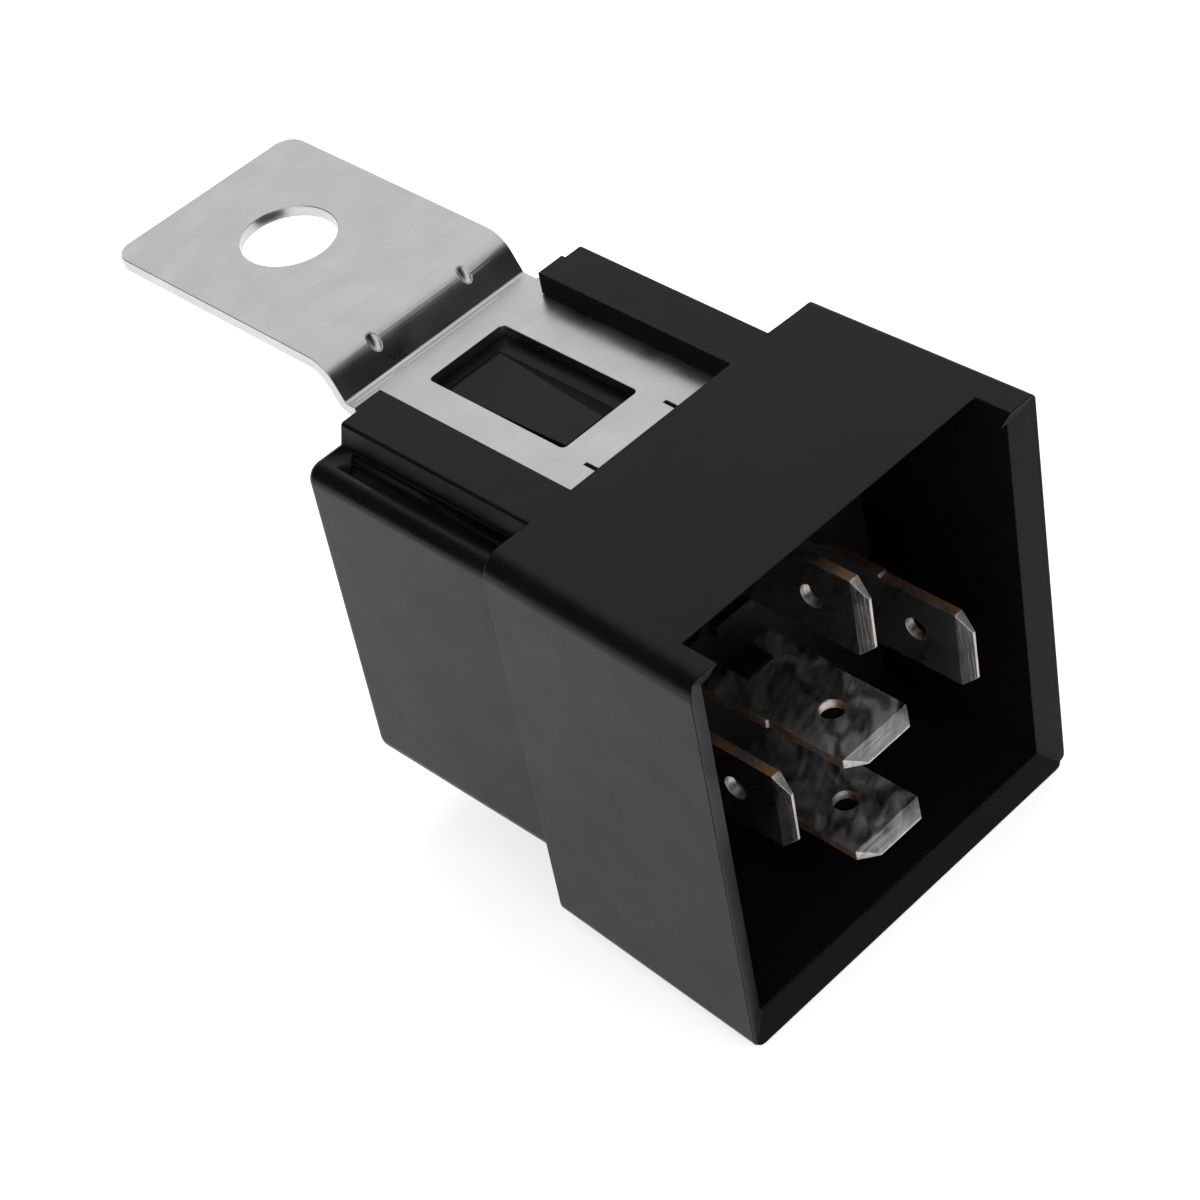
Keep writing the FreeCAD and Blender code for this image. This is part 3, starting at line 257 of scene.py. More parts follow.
def make_flags():
    """Black cards that the studio leaves dark, seen only in reflections."""
    material, _ = plain_shader("flag", 0.0)
    cards = (
        ("flag_near", (-0.585, -0.62, 0.42), 0.80, 0.56),
        ("flag_front", (0.80, 0.45, 0.40), 0.62, 0.42),
        ("flag_far", (-0.585, 0.81, 0.02), 0.50, 0.14),
    )
    for name, direction, width, height in cards:
        place = TARGET + Vector(direction).normalized() * FLAG_DISTANCE
        card = plane(name, place, TARGET, width, height)
        card.data.materials.append(material)
        card.visible_camera = False
        card.visible_shadow = False
        card.visible_diffuse = False


def make_lamps():
    """Soft boxes from above and from the sides; reflections see the white surroundings instead."""
    lamps = (
        ("key", (-0.25, 0.30, 0.60), 0.45, 3.2),
        ("side", (0.15, -0.55, 0.35), 0.35, 1.2),
        ("front", (0.60, 0.05, 0.25), 0.30, 0.8),
    )
    for name, place, size, power in lamps:
        data = bpy.data.lights.new(name, "AREA")
        data.shape = "SQUARE"
        data.size = size
        data.energy = power
        lamp = bpy.data.objects.new(name, data)
        bpy.context.scene.collection.objects.link(lamp)
        turn = (TARGET - Vector(place)).normalized().to_track_quat("-Z", "Y").to_matrix().to_4x4()
        lamp.matrix_world = Matrix.Translation(place) @ turn
        lamp.visible_glossy = False


# Finishes


def black_plastic():
    """Glossy black moulding with faint flow marks, scuffs and dust."""
    finish = Finish("black_housing", (0.004, 0.004, 0.004), 0.3, specular=0.13)
    patches = finish.noise(0.12, 3.0)
    finish.set("Base Color", finish.blend(patches, (0.0028, 0.0028, 0.003), (0.0055, 0.0055, 0.0055)))
    broad = finish.spread(finish.noise(0.3, 4.0, distortion=0.4), 0.3, 0.7, 0.27, 0.36)
    fine = finish.spread(finish.noise(7.0, 2.0), 0.35, 0.65, -0.02, 0.02)
    marks = finish.maths("MULTIPLY", finish.scratches(2.2, 35), 0.05)
    finish.set("Roughness", finish.maths("ADD", finish.maths("ADD", broad, fine), marks))
    finish.bump(finish.noise(0.5, 3.0), 0.012)
    finish.bump(finish.noise(14.0, 2.0), 0.001)
    return finish.material


def black_header():
    """The header's harder moulding, a little greyer and duller."""
    finish = Finish("black_header", (0.005, 0.005, 0.005), 0.4, specular=0.07)
    patches = finish.noise(0.4, 3.0)
    finish.set("Base Color", finish.blend(patches, (0.003, 0.003, 0.003), (0.007, 0.007, 0.007)))
    finish.set("Roughness", finish.spread(finish.noise(1.3, 4.0), 0.3, 0.7, 0.3, 0.5))
    finish.bump(finish.noise(3.0, 3.0), 0.01)
    return finish.material


def potting():
    """Poured sealant: glossy, with a slow wave and small pits."""
    finish = Finish("potting", (0.006, 0.006, 0.006), 0.15, specular=0.2)
    patches = finish.noise(0.8, 2.0)
    finish.set("Base Color", finish.blend(patches, (0.004, 0.004, 0.004), (0.010, 0.009, 0.008)))
    finish.set("Roughness", finish.spread(finish.noise(0.9, 3.0), 0.3, 0.7, 0.1, 0.3))
    finish.bump(finish.noise(0.7, 2.0), 0.12)
    return finish.material


def metal(name, colour, dark, roughness, grain=(1.0, 1.0, 1.0)):
    """Metal with mottled tone, uneven polish and a fine grain."""
    finish = Finish(name, colour, roughness, metallic=1.0)
    patches = finish.spread(finish.noise(0.5, 5.0, roughness=0.6, distortion=0.5), 0.3, 0.7)
    finish.set("Base Color", finish.blend(patches, dark, colour))
    broad = finish.spread(finish.noise(0.45, 4.0), 0.3, 0.7, roughness * 0.75, roughness * 1.25)
    lines = finish.spread(finish.noise(9.0, 3.0, stretch=grain), 0.3, 0.7, -0.05, 0.05)
    finish.set("Roughness", finish.maths("ADD", broad, lines))
    finish.bump(finish.noise(9.0, 3.0, stretch=grain), 0.002)
    return finish.material


def plated_steel():
    """Satin zinc plate: soft clouds and a fine grain across the sheet."""
    finish = Finish("plated_steel", (0.56, 0.56, 0.56), 0.3, metallic=1.0)
    clouds = finish.spread(finish.noise(0.3, 5.0, roughness=0.55, distortion=0.4), 0.3, 0.7)
    tone = finish.blend(clouds, (0.50, 0.50, 0.495), (0.56, 0.56, 0.555))
    drawn = finish.noise(3.0, 2.0, stretch=(1.0, 0.06, 1.0))
    grain = finish.spread(drawn, 0.3, 0.7, 0.0, 0.35)
    finish.set("Base Color", finish.blend(grain, tone, (0.44, 0.44, 0.43)))
    finish.set("Roughness", finish.spread(finish.noise(0.4, 3.0), 0.3, 0.7, 0.27, 0.35))
    finish.bump(drawn, 0.006)
    finish.bump(finish.noise(12.0, 2.0, stretch=(1.0, 0.2, 1.0)), 0.0008)
    return finish.material


def tinned(name, edge, clear, cloudy, copper, dark, pale):
    """Tin over brass, smeared from clear to cloudy and from dark to pale; a low pale is painted shade.

    The sheared edges face along the axis numbered edge, and are bare where a noise exceeds copper.
    """
    finish = Finish(name, (0.62, 0.61, 0.59), 0.2, metallic=1.0)
    face = "Z_AXIS" if edge == SIDEWAYS else "Y_AXIS"
    smears = finish.spread(finish.noise(0.55, 4.0, (0.6, 1.0, 1.0), 0.5, 1.2, 40, face), 0.34, 0.66)
    wiped = finish.spread(finish.noise(1.9, 3.0, (0.15, 1.0, 1.0), 0.5, 0.5, 65, face), 0.38, 0.64)
    smears = finish.maths("ADD", finish.maths("MULTIPLY", smears, 0.7), finish.maths("MULTIPLY", wiped, 0.3))
    tin = finish.blend(smears, (dark, dark, dark), (pale, pale * 0.99, pale * 0.97))
    patchy = finish.spread(finish.noise(0.7, 3.0), copper, copper + 0.14)
    across = (1.0, 0.04, 1.0) if edge == SIDEWAYS else (1.0, 1.0, 0.04)
    shear = finish.noise(7.0, 3.0, across)
    side = finish.spread(finish.facing(edge), 0.75, 0.92)
    tip = finish.maths("MULTIPLY", finish.spread(finish.facing(LENGTHWAYS), 0.8, 0.95), 0.35)
    bare = finish.maths("MULTIPLY", finish.maths("MAXIMUM", side, tip), patchy)
    sheared = finish.maths("MAXIMUM", side, finish.spread(finish.facing(LENGTHWAYS), 0.15, 0.3))
    lines = finish.maths("MULTIPLY", finish.spread(shear, 0.4, 0.62), finish.maths("MULTIPLY", sheared, 0.55))
    tin = finish.blend(lines, tin, (0.26, 0.26, 0.26))
    finish.set("Base Color", finish.blend(bare, tin, (0.74, 0.44, 0.25)))
    first, second = finish.scratches(6.0, 62, 0.06, axis=face), finish.scratches(7.0, -18, 0.06, axis=face)
    scratches = finish.maths("MAXIMUM", first, second)
    polish = finish.spread(smears, 0.1, 0.8, clear, cloudy)
    polish = finish.maths("MAXIMUM", polish, finish.maths("MULTIPLY", sheared, 0.42))
    finish.set("Roughness", finish.maths("ADD", polish, finish.maths("MULTIPLY", scratches, 0.12)))
    finish.bump(finish.noise(0.6, 3.0, distortion=0.8), 0.03)
    finish.bump(lines, 0.02)
    finish.bump(scratches, 0.004)
    finish.bump(finish.noise(9.0, 3.0, stretch=(0.05, 1, 1)), 0.0015)
    return finish.material


def soft_finish(name, colour, dark, roughness, scale, relief):
    """A plain dielectric with mottled tone and a small relief."""
    finish = Finish(name, colour, roughness)
    finish.set("Base Color", finish.blend(finish.noise(scale, 3.0), dark, colour))
    uneven = finish.spread(finish.noise(scale * 1.7, 3.0), 0.3, 0.7, roughness * 0.8, roughness * 1.2)
    finish.set("Roughness", uneven)
    finish.bump(finish.noise(scale * 3, 2.0), relief)
    return finish.material


def make_finishes():
    """One material for each slot of the record, and one more for the blades that stand upright: their edges
    face up, and their darker tin is painted shade.
    """
    cream, cream_dark = (0.62, 0.58, 0.46), (0.55, 0.50, 0.40)
    blue, blue_dark = (0.10, 0.22, 0.34), (0.07, 0.17, 0.28)
    return {
        "black_housing": black_plastic(),
        "black_header": black_header(),
        "potting": potting(),
        "plated_steel": plated_steel(),
        "tinned_blade": tinned("tinned_flat", SIDEWAYS, 0.28, 0.50, 0.38, 0.26, 0.92),
        # Same tin as the flat blades, painted darker as shade; its sheared edges face up.
        "tinned_upright_painted_shade": tinned("tinned_upright_painted_shade", UPWARDS, 0.27, 0.32, 0.42, 0.36, 0.48),
        "magnet_iron": metal("magnet_iron", (0.50, 0.50, 0.48), (0.38, 0.38, 0.37), 0.34),
        "copper_wire": metal("copper_wire", (0.72, 0.30, 0.14), (0.55, 0.20, 0.09), 0.25),
        "bronze_leaf": metal("bronze_leaf", (0.75, 0.50, 0.27), (0.62, 0.40, 0.20), 0.3, (1, 1, 0.06)),
        "silver_contact": metal("silver_contact", (0.86, 0.85, 0.82), (0.70, 0.69, 0.67), 0.22),
        "spring_steel": metal("spring_steel", (0.55, 0.55, 0.55), (0.42, 0.42, 0.42), 0.25),
        "spool_plastic": soft_finish("spool_plastic", cream, cream_dark, 0.45, 0.8, 0.01),
        "resistor_coat": soft_finish("resistor_coat", blue, blue_dark, 0.4, 1.2, 0.02),
    }


# Shapes


def add_piece(name, mesh, body, slot, replaced, finish=None):
    """Puts a mesh in the scene as a piece on a body, in place of the nodes that it stands for."""
    item = bpy.data.objects.new(name, mesh)
    bpy.context.scene.collection.objects.link(item)
    mesh.materials.clear()
    mesh.materials.append(FINISHES[finish or slot])
    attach(item, body)
    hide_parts(*replaced)
    return item


def smooth(item):
    """Smooth shading that keeps the large flats flat."""
    item.data.polygons.foreach_set("use_smooth", [True] * len(item.data.polygons))
    item.data.update()
    weights = item.modifiers.new("flats", "WEIGHTED_NORMAL")
    weights.weight = 100


def ease_edges(mesh, width, limit):
    """Joins coplanar facets and rounds a little each edge that turns more than the limit at its middle."""
    work = bmesh.new()
    work.from_mesh(mesh)
    bmesh.ops.remove_doubles(work, verts=work.verts, dist=SAME_POINT * MM)
    bmesh.ops.dissolve_limit(work, angle_limit=FLAT_ANGLE, verts=work.verts, edges=work.edges)
    sharp = []
    for edge in work.edges:
        middle = (edge.verts[0].co + edge.verts[1].co) / (2 * MM)
        if edge.is_manifold and math.degrees(edge.calc_face_angle()) > limit(middle):
            sharp.append(edge)
    bmesh.ops.bevel(work, geom=sharp, offset=width * MM, offset_type="OFFSET", segments=2, profile=0.5,
                    affect="EDGES", clamp_overlap=False)
    bmesh.ops.remove_doubles(work, verts=work.verts, dist=SAME_POINT * MM)
    bmesh.ops.recalc_face_normals(work, faces=work.faces)
    work.to_mesh(mesh)
    work.free()
    return mesh


def usual_angle(_):
    """The limit for most pieces, the same in every place."""
    return SHARP_ANGLE


def blade_angle(_):
    """The limit for the blades, low enough for their shallow tips."""
    return BLADE_ANGLE


def eased(node, name, body, slot, finish=None, width=EASED_EDGE, limit=usual_angle):
    """A piece with a node's own shape and eased edges."""
    mesh = NODES[node].data.copy()
    mesh.name = name
    smooth(add_piece(name, ease_edges(mesh, width, limit), body, slot, [node], finish))


def rounded(points, radii):
    """A closed outline through the points, with arcs of the given radii at the corners."""
    result = []
    for index, radius in enumerate(radii):
        corner = Vector(points[index])
        if not radius:
            result.append(corner)
            continue
        into = (Vector(points[index - 1]) - corner).normalized()
        out = (Vector(points[(index + 1) % len(points)]) - corner).normalized()
        half = into.angle(out) / 2
        centre = corner + (into + out).normalized() * (radius / math.sin(half))
        first = corner + into * (radius / math.tan(half)) - centre
        last = corner + out * (radius / math.tan(half)) - centre
        sweep = first.angle(last)
        for step in range(ARC_STEPS + 1):
            turn = sweep * step / ARC_STEPS
            spoke = (first * math.sin(sweep - turn) + last * math.sin(turn)) / math.sin(sweep)
            result.append(centre + spoke)
    return result


def circle(radius, steps=72):
    """A closed round outline about the origin."""
    turns = [2 * math.pi * step / steps for step in range(steps)]
    return [Vector((radius * math.cos(turn), radius * math.sin(turn))) for turn in turns]


def box_outline(left, right, bottom, top, radius=0.0):
    """A closed four-sided outline, its corners rounded when there is a radius."""
    return rounded([(left, bottom), (right, bottom), (right, top), (left, top)], [radius] * 4)


def face_outwards(mesh):
    """Makes every closed shell's faces look outwards."""
    work = bmesh.new()
    work.from_mesh(mesh)
    bmesh.ops.recalc_face_normals(work, faces=work.faces)
    work.to_mesh(mesh)
    work.free()
    return mesh


def prism(outline, axis, start, stop):
    """A closed mesh: an outline drawn across the Y or Z axis, from start to stop along it."""
    def point(pair, height):
        across, up = pair
        spots = {"Y": (across, height, up), "Z": (across, up, height)}
        return Vector(spots[axis]) * MM
    count = len(outline)
    verts = [point(pair, start) for pair in outline] + [point(pair, stop) for pair in outline]
    faces = [tuple(range(count))[::-1], tuple(range(count, 2 * count))]
    faces += [(k, (k + 1) % count, (k + 1) % count + count, k + count) for k in range(count)]
    mesh = bpy.data.meshes.new("prism")
    mesh.from_pydata(verts, [], faces)
    return face_outwards(mesh)


def combine(mesh, others, operation):
    """The first mesh after a boolean with each of the others."""
    for other in others:
        base = bpy.data.objects.new("base", mesh)
        tool = bpy.data.objects.new("tool", other)
        for item in (base, tool):
            bpy.context.scene.collection.objects.link(item)
        change = base.modifiers.new("change", "BOOLEAN")
        change.object = tool
        change.operation = operation
        change.solver = "EXACT"
        depsgraph = bpy.context.evaluated_depsgraph_get()
        mesh = bpy.data.meshes.new_from_object(base.evaluated_get(depsgraph))
        for item in (base, tool):
            bpy.data.objects.remove(item)
    return mesh


def ellipsoid(centre, sizes, axes):
    """A smooth egg shape, in millimetres, with its three axes as given."""
    mesh = bpy.data.meshes.new("egg")
    work = bmesh.new()
    bmesh.ops.create_icosphere(work, subdivisions=4, radius=1.0)
    for vert in work.verts:
        offset = sum((axis * (size * part) for axis, size, part in zip(axes, sizes, vert.co)), Vector())
        vert.co = (centre + offset) * MM
    work.to_mesh(mesh)
    work.free()
    return face_outwards(mesh)


# Bracket

SHEET = 0.9
SHEET_EDGE = 0.06
EAR_BACK = -9.4
JOGGLE_START = 12.9
JOGGLE_END = 14.5
JOGGLE_DROP = 2.65
UPPER_BEND = 2.6
LOWER_BEND = 0.35
PLATE_END = 34.9
EAR_HALF = 8.5
EAR_CORNER = 1.5
PLATE_HALF = 9.6
SHOULDER = 16.0
SHOULDER_INNER = 0.6
SHOULDER_OUTER = 0.4
HOLE_RADIUS = 3.5
WINDOW = (17.4, 30.2, -3.5, 3.5)
WINDOW_CORNER = 0.35
SLIT_START = 32.4
SLIT_STOP = 36.0
SLIT_SIDES = (3.6, 3.9)

# How far the cutting tools reach beyond the sheet: to its sides, and the heights that they span
BESIDE = 1
UNDER = -6
OVER = 3

# Dents in the upper bend: share of the joggle's run and place across it, then half sizes
DENT_SPOTS = ((0.2, -4.2), (0.16, 4.4))
DENT_SIZE = (1.0, 0.5, 0.4)

# Faint marks of the bending tool on the plate: where each starts and stops across it, then their distance
# from the joggle's end, width and depth
MARK_SPOTS = ((-8.0, -4.4), (-3.6, 5.6))
MARK_START = 0.35
MARK_WIDTH = 0.3
MARK_DEPTH = 0.06


def make_bracket():
    """The bent sheet with soft bends, its openings, the dents in its upper bend and the tool's marks."""
    slope = math.atan2(JOGGLE_DROP, JOGGLE_END - JOGGLE_START)
    shift = SHEET * math.tan(slope / 2)
    side = [
        (EAR_BACK, 0),
        (JOGGLE_START, 0),
        (JOGGLE_END, -JOGGLE_DROP),
        (PLATE_END, -JOGGLE_DROP),
        (PLATE_END, -JOGGLE_DROP - SHEET),
        (JOGGLE_END - shift, -JOGGLE_DROP - SHEET),
        (JOGGLE_START - shift, -SHEET),
        (EAR_BACK, -SHEET),
    ]
    radii = [0, UPPER_BEND, LOWER_BEND, 0, 0, LOWER_BEND + SHEET, UPPER_BEND - SHEET, 0]
    sheet = prism(rounded(side, radii), "Y", -PLATE_HALF - BESIDE, PLATE_HALF + BESIDE)
    plan = [
        (EAR_BACK, -EAR_HALF),
        (SHOULDER, -EAR_HALF),
        (SHOULDER, -PLATE_HALF),
        (PLATE_END, -PLATE_HALF),
        (PLATE_END, PLATE_HALF),
        (SHOULDER, PLATE_HALF),
        (SHOULDER, EAR_HALF),
        (EAR_BACK, EAR_HALF),
    ]
    half = [EAR_CORNER, SHOULDER_INNER, SHOULDER_OUTER, 0]
    outline = rounded(plan, half + half[::-1])
    sheet = combine(sheet, [prism(outline, "Z", UNDER, OVER)], "INTERSECT")
    near, far = SLIT_SIDES
    cuts = [
        prism(circle(HOLE_RADIUS), "Z", UNDER, OVER),
        prism(box_outline(*WINDOW, WINDOW_CORNER), "Z", UNDER, 0),
        prism(box_outline(SLIT_START, SLIT_STOP, near, far), "Z", UNDER, 0),
        prism(box_outline(SLIT_START, SLIT_STOP, -far, -near), "Z", UNDER, 0),
    ]
    down = Vector((math.cos(slope), 0, -math.sin(slope)))
    outward = Vector((math.sin(slope), 0, math.cos(slope)))
    for share, across in DENT_SPOTS:
        place = Vector((JOGGLE_START + share * (JOGGLE_END - JOGGLE_START), across, -share * JOGGLE_DROP))
        cuts.append(ellipsoid(place, DENT_SIZE, (down, Vector((0, 1, 0)), outward)))
    first = JOGGLE_END + MARK_START
    above = -JOGGLE_DROP + MARK_DEPTH / 3
    bottom = (first + MARK_WIDTH / 2, -JOGGLE_DROP - MARK_DEPTH)
    for start, stop in MARK_SPOTS:
        cuts.append(prism([(first, above), (first + MARK_WIDTH, above), bottom], "Y", start, stop))
    sheet = combine(sheet, cuts, "DIFFERENCE")
    sheet = ease_edges(sheet, SHEET_EDGE, usual_angle)
    smooth(add_piece("bracket_sheet", sheet, "base", "plated_steel", ["bracket"]))


# Cover

# Zones of the cover's edges, each as its lowest and highest corner
GROOVE = ((18.0, -13.8, -3.6), (36.2, -11.2, -2.2))
NEAR_FOOT = ((17.0, -12.2, -3.0), (36.2, -11.2, -2.0))
FAR_FOOT = ((17.0, 11.2, -3.0), (36.2, 12.2, -2.0))
RAMP = ((17.6, -3.3, -4.4), (30.6, 2.3, -2.4))

# The end face of the skirt's top wall, cut back between the posts
CUT_BACK = 50.6
CUT_HALF = 13.65
CUT_FLOOR = -2.65
UNDERCUT = 1.75
NEARBY = 0.05


def cover_angle(spot):
    """The rails' feet and the groove are too tight to be eased; the latch ramp has shallow, crisp edges."""
    zones = ((GROOVE, NO_ANGLE), (NEAR_FOOT, NO_ANGLE), (FAR_FOOT, NO_ANGLE), (RAMP, RAMP_ANGLE))
    for (lowest, highest), limit in zones:
        if all(low < part < high for low, part, high in zip(lowest, spot, highest)):
            return limit
    return SHARP_ANGLE


def make_cover():
    """The cover, with the end of its top wall undercut, which hides the end face from above."""
    mesh = NODES["cover"].data.copy()
    corners = [Vector((CUT_BACK, side * CUT_HALF, CUT_FLOOR)) for side in (-1, 1)]
    for vert in mesh.vertices:
        if min((vert.co / MM - corner).length for corner in corners) < NEARBY:
            vert.co.x -= UNDERCUT * MM
    ease_edges(mesh, EASED_EDGE, cover_angle)
    smooth(add_piece("cover_moulding", mesh, "base", "black_housing", ["cover"]))


# Header

HEADER_FACE = 39.4
BLADE_TOP = -18.95
KEY_MIDDLE = 0.4
KEY_HALF = 1.2
KEY_BELOW = 0.5
KEY_ABOVE = 1.0
KEY_SHRINK = (0.8, 1.04, 0.4)
KEY_SHIFT = -0.35
SLACK = 0.02


def make_header():
    """The header, with the key over the middle blade as low and short as the real one."""
    mesh = NODES["header"].data.copy()
    long, wide, tall = KEY_SHRINK
    for vert in mesh.vertices:
        x, y, z = vert.co / MM
        at_height = BLADE_TOP - KEY_BELOW < z < BLADE_TOP + KEY_ABOVE
        if at_height and abs(y - KEY_MIDDLE) < KEY_HALF + SLACK and x > HEADER_FACE - SLACK:
            x = HEADER_FACE + (x - HEADER_FACE) * long
            y = KEY_MIDDLE + (y - KEY_MIDDLE) * wide + KEY_SHIFT
            z = BLADE_TOP + (z - BLADE_TOP) * (tall if z > BLADE_TOP else 1)
            vert.co = Vector((x, y, z)) * MM
    ease_edges(mesh, EASED_EDGE, usual_angle)
    smooth(add_piece("header_moulding", mesh, "base", "black_header", ["header"]))


# Wires


def tube(points, radius, sides=10):
    """A round wire along a line of points, in millimetres."""
    points = [Vector(point) for point in points]
    runs = [(after - before).normalized() for before, after in zip(points, points[1:])]
    headings = [runs[0]] + [(one + other).normalized() for one, other in zip(runs, runs[1:])] + [runs[-1]]
    across = headings[0].orthogonal().normalized()
    verts, faces = [], []
    for point, along in zip(points, headings):
        up = along.cross(across).normalized()
        across = up.cross(along)
        for k in range(sides):
            turn = 2 * math.pi * k / sides
            verts.append((point + (across * math.cos(turn) + up * math.sin(turn)) * radius) * MM)
    for ring in range(len(points) - 1):
        for k in range(sides):
            one, other = ring * sides + k, ring * sides + (k + 1) % sides
            faces.append((one, other, other + sides, one + sides))
    faces.append(tuple(range(sides))[::-1])
    faces.append(tuple(range(len(verts) - sides, len(verts))))
    return verts, faces


def bent_path(corners, radius, steps=8):
    """Points along straight runs through the corners, joined by arcs."""
    corners = [Vector(corner) for corner in corners]
    points = [corners[0]]
    for before, corner, after in zip(corners, corners[1:], corners[2:]):
        into = (before - corner).normalized()
        out = (after - corner).normalized()
        half = into.angle(out) / 2
        centre = corner + (into + out).normalized() * (radius / math.sin(half))
        first = corner + into * (radius / math.tan(half)) - centre
        last = corner + out * (radius / math.tan(half)) - centre
        sweep = math.pi - 2 * half
        for step in range(steps + 1):
            turn = sweep * step / steps
            spoke = (first * math.sin(sweep - turn) + last * math.sin(turn)) / math.sin(sweep)
            points.append(centre + spoke)
    return points + [corners[-1]]


def mesh_of(parts):
    """One mesh from several (vertices, faces) lists."""
    verts, faces = [], []
    for more, sides in parts:
        faces += [tuple(index + len(verts) for index in face) for face in sides]
        verts += more
    mesh = bpy.data.meshes.new("wire")
    mesh.from_pydata(verts, [], faces)
    return face_outwards(mesh)


def turned(profile, height, steps):
    """A closed ring turned about a line along X at a height, from a closed (along, radius) outline."""
    verts, faces = [], []
    count = len(profile)
    for step in range(steps):
        turn = 2 * math.pi * step / steps
        for along, radius in profile:
            spoke = Vector((0, radius * math.sin(turn), radius * math.cos(turn)))
            verts.append((Vector((along, 0, height)) + spoke) * MM)
    for step in range(steps):
        after = (step + 1) % steps
        for k in range(count):
            other = (k + 1) % count
            faces.append((step * count + k, step * count + other, after * count + other, after * count + k))
    return verts, faces


# Return spring
SPRING_FACES = (23.929, 31.929)
SPRING_HOOKS = (22.329, 32.904)
SPRING_HEIGHT = -6.3
SPRING_WIRE = 0.175
SPRING_RADIUS = 0.675
SPRING_PITCH = 0.9
SPRING_TURNS = 4
SPRING_STEPS = 24
HOOK_RISE = 0.6
HOOK_BEND = 0.12


def make_return_spring():
    """The round coils and both hooks of the return spring."""
    start = (sum(SPRING_FACES) - SPRING_PITCH * SPRING_TURNS) / 2
    points = []
    for step in range(SPRING_TURNS * SPRING_STEPS + 1):
        turn = 2 * math.pi * step / SPRING_STEPS
        along = start + SPRING_PITCH * step / SPRING_STEPS
        across = SPRING_RADIUS * math.cos(turn)
        points.append(Vector((along, across, SPRING_HEIGHT + SPRING_RADIUS * math.sin(turn))))
    hooks = []
    ends = ((points[0], points[1]), (points[-1], points[-2]))
    for hook, (end, after) in zip(SPRING_HOOKS, ends):
        corners = [
            (hook, 0, SPRING_HEIGHT + HOOK_RISE),
            (hook, 0, SPRING_HEIGHT),
            (end.x, 0, SPRING_HEIGHT),
            end,
            after,
        ]
        hooks.append(bent_path(corners, HOOK_BEND))
    wire = tube(hooks[0] + points[2:-2] + hooks[1][::-1], SPRING_WIRE)
    smooth(add_piece("return_spring_wire", mesh_of([wire]), "base", "spring_steel", ["return_spring"]))


# Braid
BRAID_PATH = ((36.15, -7.0, -8.6), (30.141, -7.0, -8.6), (21.141, -7.5, -19.6), (21.141, -1.4, -19.6))
BRAID_BEND = 1.1
BRAID_STEP = 0.25
STRANDS = 5
STRAND_RADIUS = 0.2
STRAND_OFFSET = 0.34
LAY_LENGTH = 3.2


def make_braid():
    """Strands twisted round the braid's line."""
    rough = bent_path(BRAID_PATH, BRAID_BEND, 6)
    line = []
    for before, after in zip(rough, rough[1:]):
        count = max(1, round((after - before).length / BRAID_STEP))
        line += [before.lerp(after, k / count) for k in range(count)]
    line.append(rough[-1])
    strands = []
    for strand in range(STRANDS):
        points = []
        across = (line[1] - line[0]).orthogonal().normalized()
        for index, point in enumerate(line):
            along = (line[min(index + 1, len(line) - 1)] - line[max(index - 1, 0)]).normalized()
            up = along.cross(across).normalized()
            across = up.cross(along)
            turn = 2 * math.pi * (strand / STRANDS + index * BRAID_STEP / LAY_LENGTH)
            points.append(point + (across * math.cos(turn) + up * math.sin(turn)) * STRAND_OFFSET)
        strands.append(tube(points, STRAND_RADIUS, 8))
    smooth(add_piece("braid_strands", mesh_of(strands), "base", "copper_wire", ["braid"]))


# Resistor: its place, then the (along, radius) outline of one half of its body, from the end inwards
RESISTOR_PLACE = 34.8
RESISTOR_HEIGHT = -6.3
RESISTOR_HALF = ((3.0, 0.25), (3.0, 0.7), (2.85, 0.9), (2.5, 0.95), (1.9, 0.93), (1.5, 0.82))
RESISTOR_WAIST = 0.8
LEAD_SIDE = 8.95
LEAD_FOOT = -15.3
LEAD_BEND = 0.75
LEAD_RADIUS = 0.25


def make_resistor():
    """A dipped resistor body with rounded ends, and its bent leads."""
    near_half = [(-along, radius) for along, radius in RESISTOR_HALF]
    profile = near_half + [(0, RESISTOR_WAIST)] + list(RESISTOR_HALF[::-1])
    ring_verts, ring_faces = turned(profile, 0, 40)
    place = Vector((RESISTOR_PLACE, 0, RESISTOR_HEIGHT)) * MM
    body = [place + Vector((vert.y, vert.x, vert.z)) for vert in ring_verts]
    corners = [
        (RESISTOR_PLACE, -LEAD_SIDE, LEAD_FOOT),
        (RESISTOR_PLACE, -LEAD_SIDE, RESISTOR_HEIGHT),
        (RESISTOR_PLACE, LEAD_SIDE, RESISTOR_HEIGHT),
        (RESISTOR_PLACE, LEAD_SIDE, LEAD_FOOT),
    ]
    lead = tube(bent_path(corners, LEAD_BEND), LEAD_RADIUS)
    mesh = mesh_of([(body, ring_faces), lead])
    item = add_piece("resistor_dipped", mesh, "base", "resistor_coat", ["suppression_resistor"])
    mesh.materials.append(FINISHES["spring_steel"])
    for face in mesh.polygons[len(ring_faces):]:
        face.material_index = 1
    smooth(item)


# Coil
COIL_HEIGHT = -14.9
COIL_START = 25.73
COIL_STOP = 33.3
COIL_OUTER = 5.3
COIL_INNER = 3.15
WIRE = 0.3
WIRE_ANGLES = (20, 55, 90, 125, 160)
END_PLACE = 33.7
END_PATH = ((5.7, -16.4), (6.65, -16.4), (7.6, -16.9), (8.55, -16.9))
END_BEND = 0.5


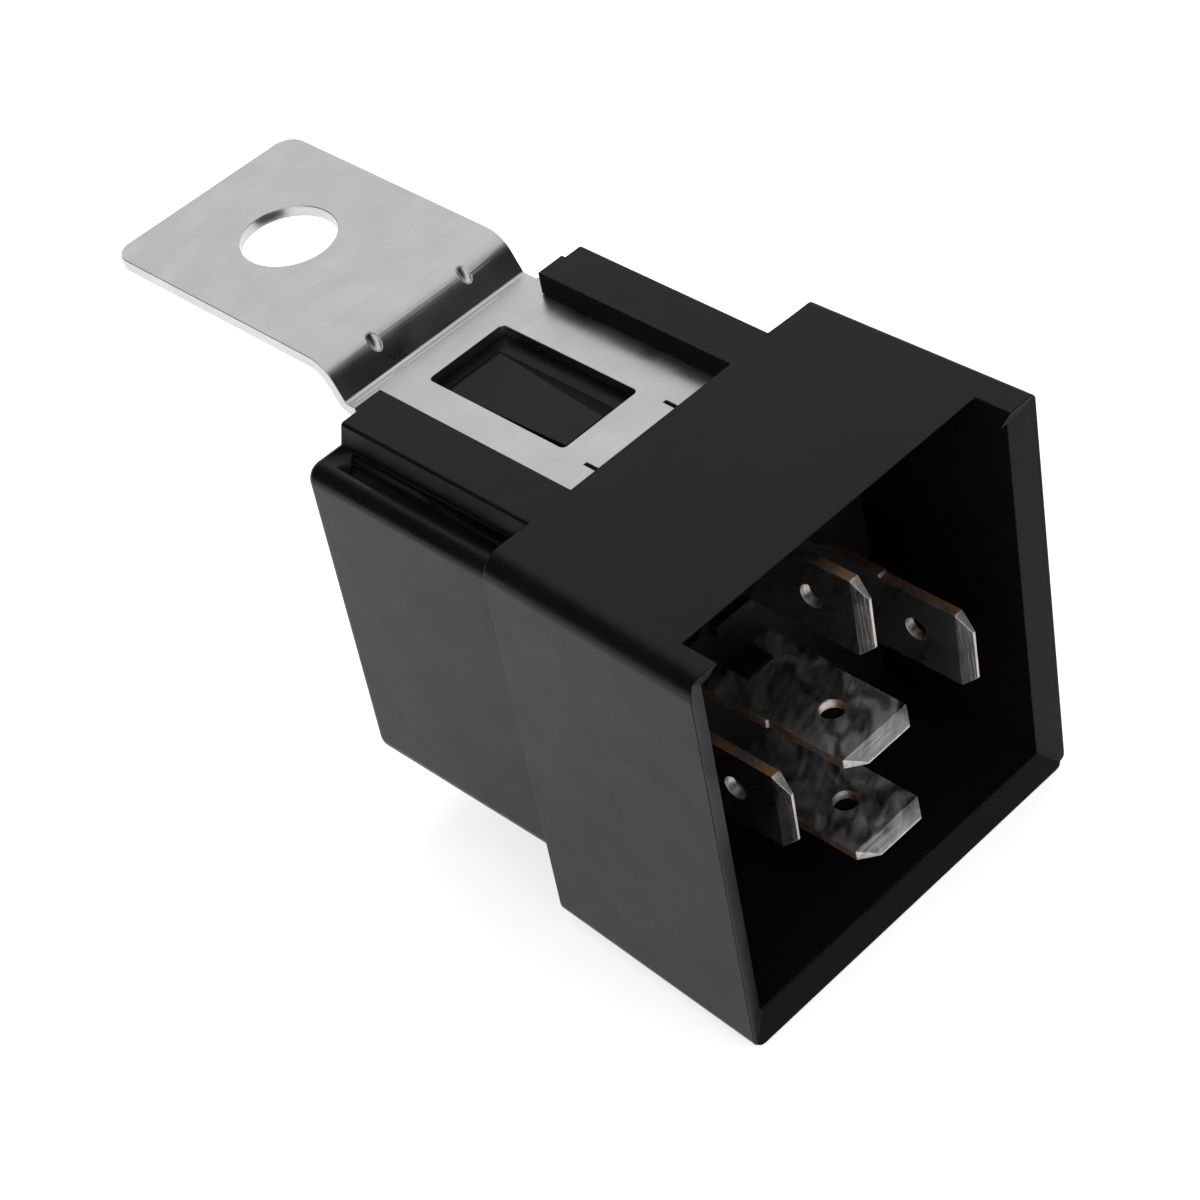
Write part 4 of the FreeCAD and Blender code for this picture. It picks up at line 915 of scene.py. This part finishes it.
def make_coil():
    """The winding's turns, with its two ends led to the posts."""
    count = round((COIL_STOP - COIL_START) / WIRE)
    pitch = (COIL_STOP - COIL_START) / count
    profile = [(COIL_START, COIL_INNER), (COIL_STOP, COIL_INNER)]
    for index in range(count):
        middle = COIL_STOP - (index + 0.5) * pitch
        for angle in WIRE_ANGLES:
            turn = math.radians(angle)
            radius = COIL_OUTER - WIRE / 2 + WIRE / 2 * math.sin(turn)
            profile.append((middle + pitch / 2 * math.cos(turn), radius))
    winding = turned(profile, COIL_HEIGHT, 72)
    smooth(add_piece("coil_turns", mesh_of([winding]), "base", "copper_wire", ["coil_winding"]))
    for label, side in (("85", -1), ("86", 1)):
        corners = [(END_PLACE, side * across, height) for across, height in END_PATH]
        end = tube(bent_path(corners, END_BEND), WIRE / 2)
        smooth(add_piece("coil_lead_" + label, mesh_of([end]), "base", "copper_wire", ["coil_end_" + label]))


make_camera()
make_world()
make_floor()
make_flags()
make_lamps()
FINISHES = make_finishes()

make_bracket()
make_cover()
make_header()
eased("sealant", "sealant_bead", "base", "potting", width=0.15)
# The blades that stand upright take the tin with painted shade.
BLADES = (
    ("87", "tinned_blade"),
    ("87a", "tinned_blade"),
    ("30", "tinned_upright_painted_shade"),
    ("85", "tinned_upright_painted_shade"),
    ("86", "tinned_upright_painted_shade"),
)
for label, finish in BLADES:
    eased("terminal_" + label, "blade_" + label, "base", "tinned_blade", finish, BLADE_EDGE, blade_angle)
make_coil()
make_return_spring()
make_braid()
make_resistor()
INNER = (
    ("yoke", "base", "magnet_iron", 0.08),
    ("core", "base", "magnet_iron", 0.08),
    ("bobbin", "base", "spool_plastic", 0.08),
    ("fixed_contact_87a", "base", "silver_contact", 0.12),
    ("fixed_contact_87", "base", "silver_contact", 0.12),
    ("armature", "rocker", "magnet_iron", 0.06),
    ("contact_spring", "rocker", "bronze_leaf", 0.03),
    ("moving_contact", "rocker", "silver_contact", 0.08),
    ("leaf_rivets", "rocker", "spring_steel", 0.08),
)
for node, body, slot, width in INNER:
    eased(node, node + "_finished", body, slot, width=width)

bpy.context.scene.view_settings.view_transform = "Standard"
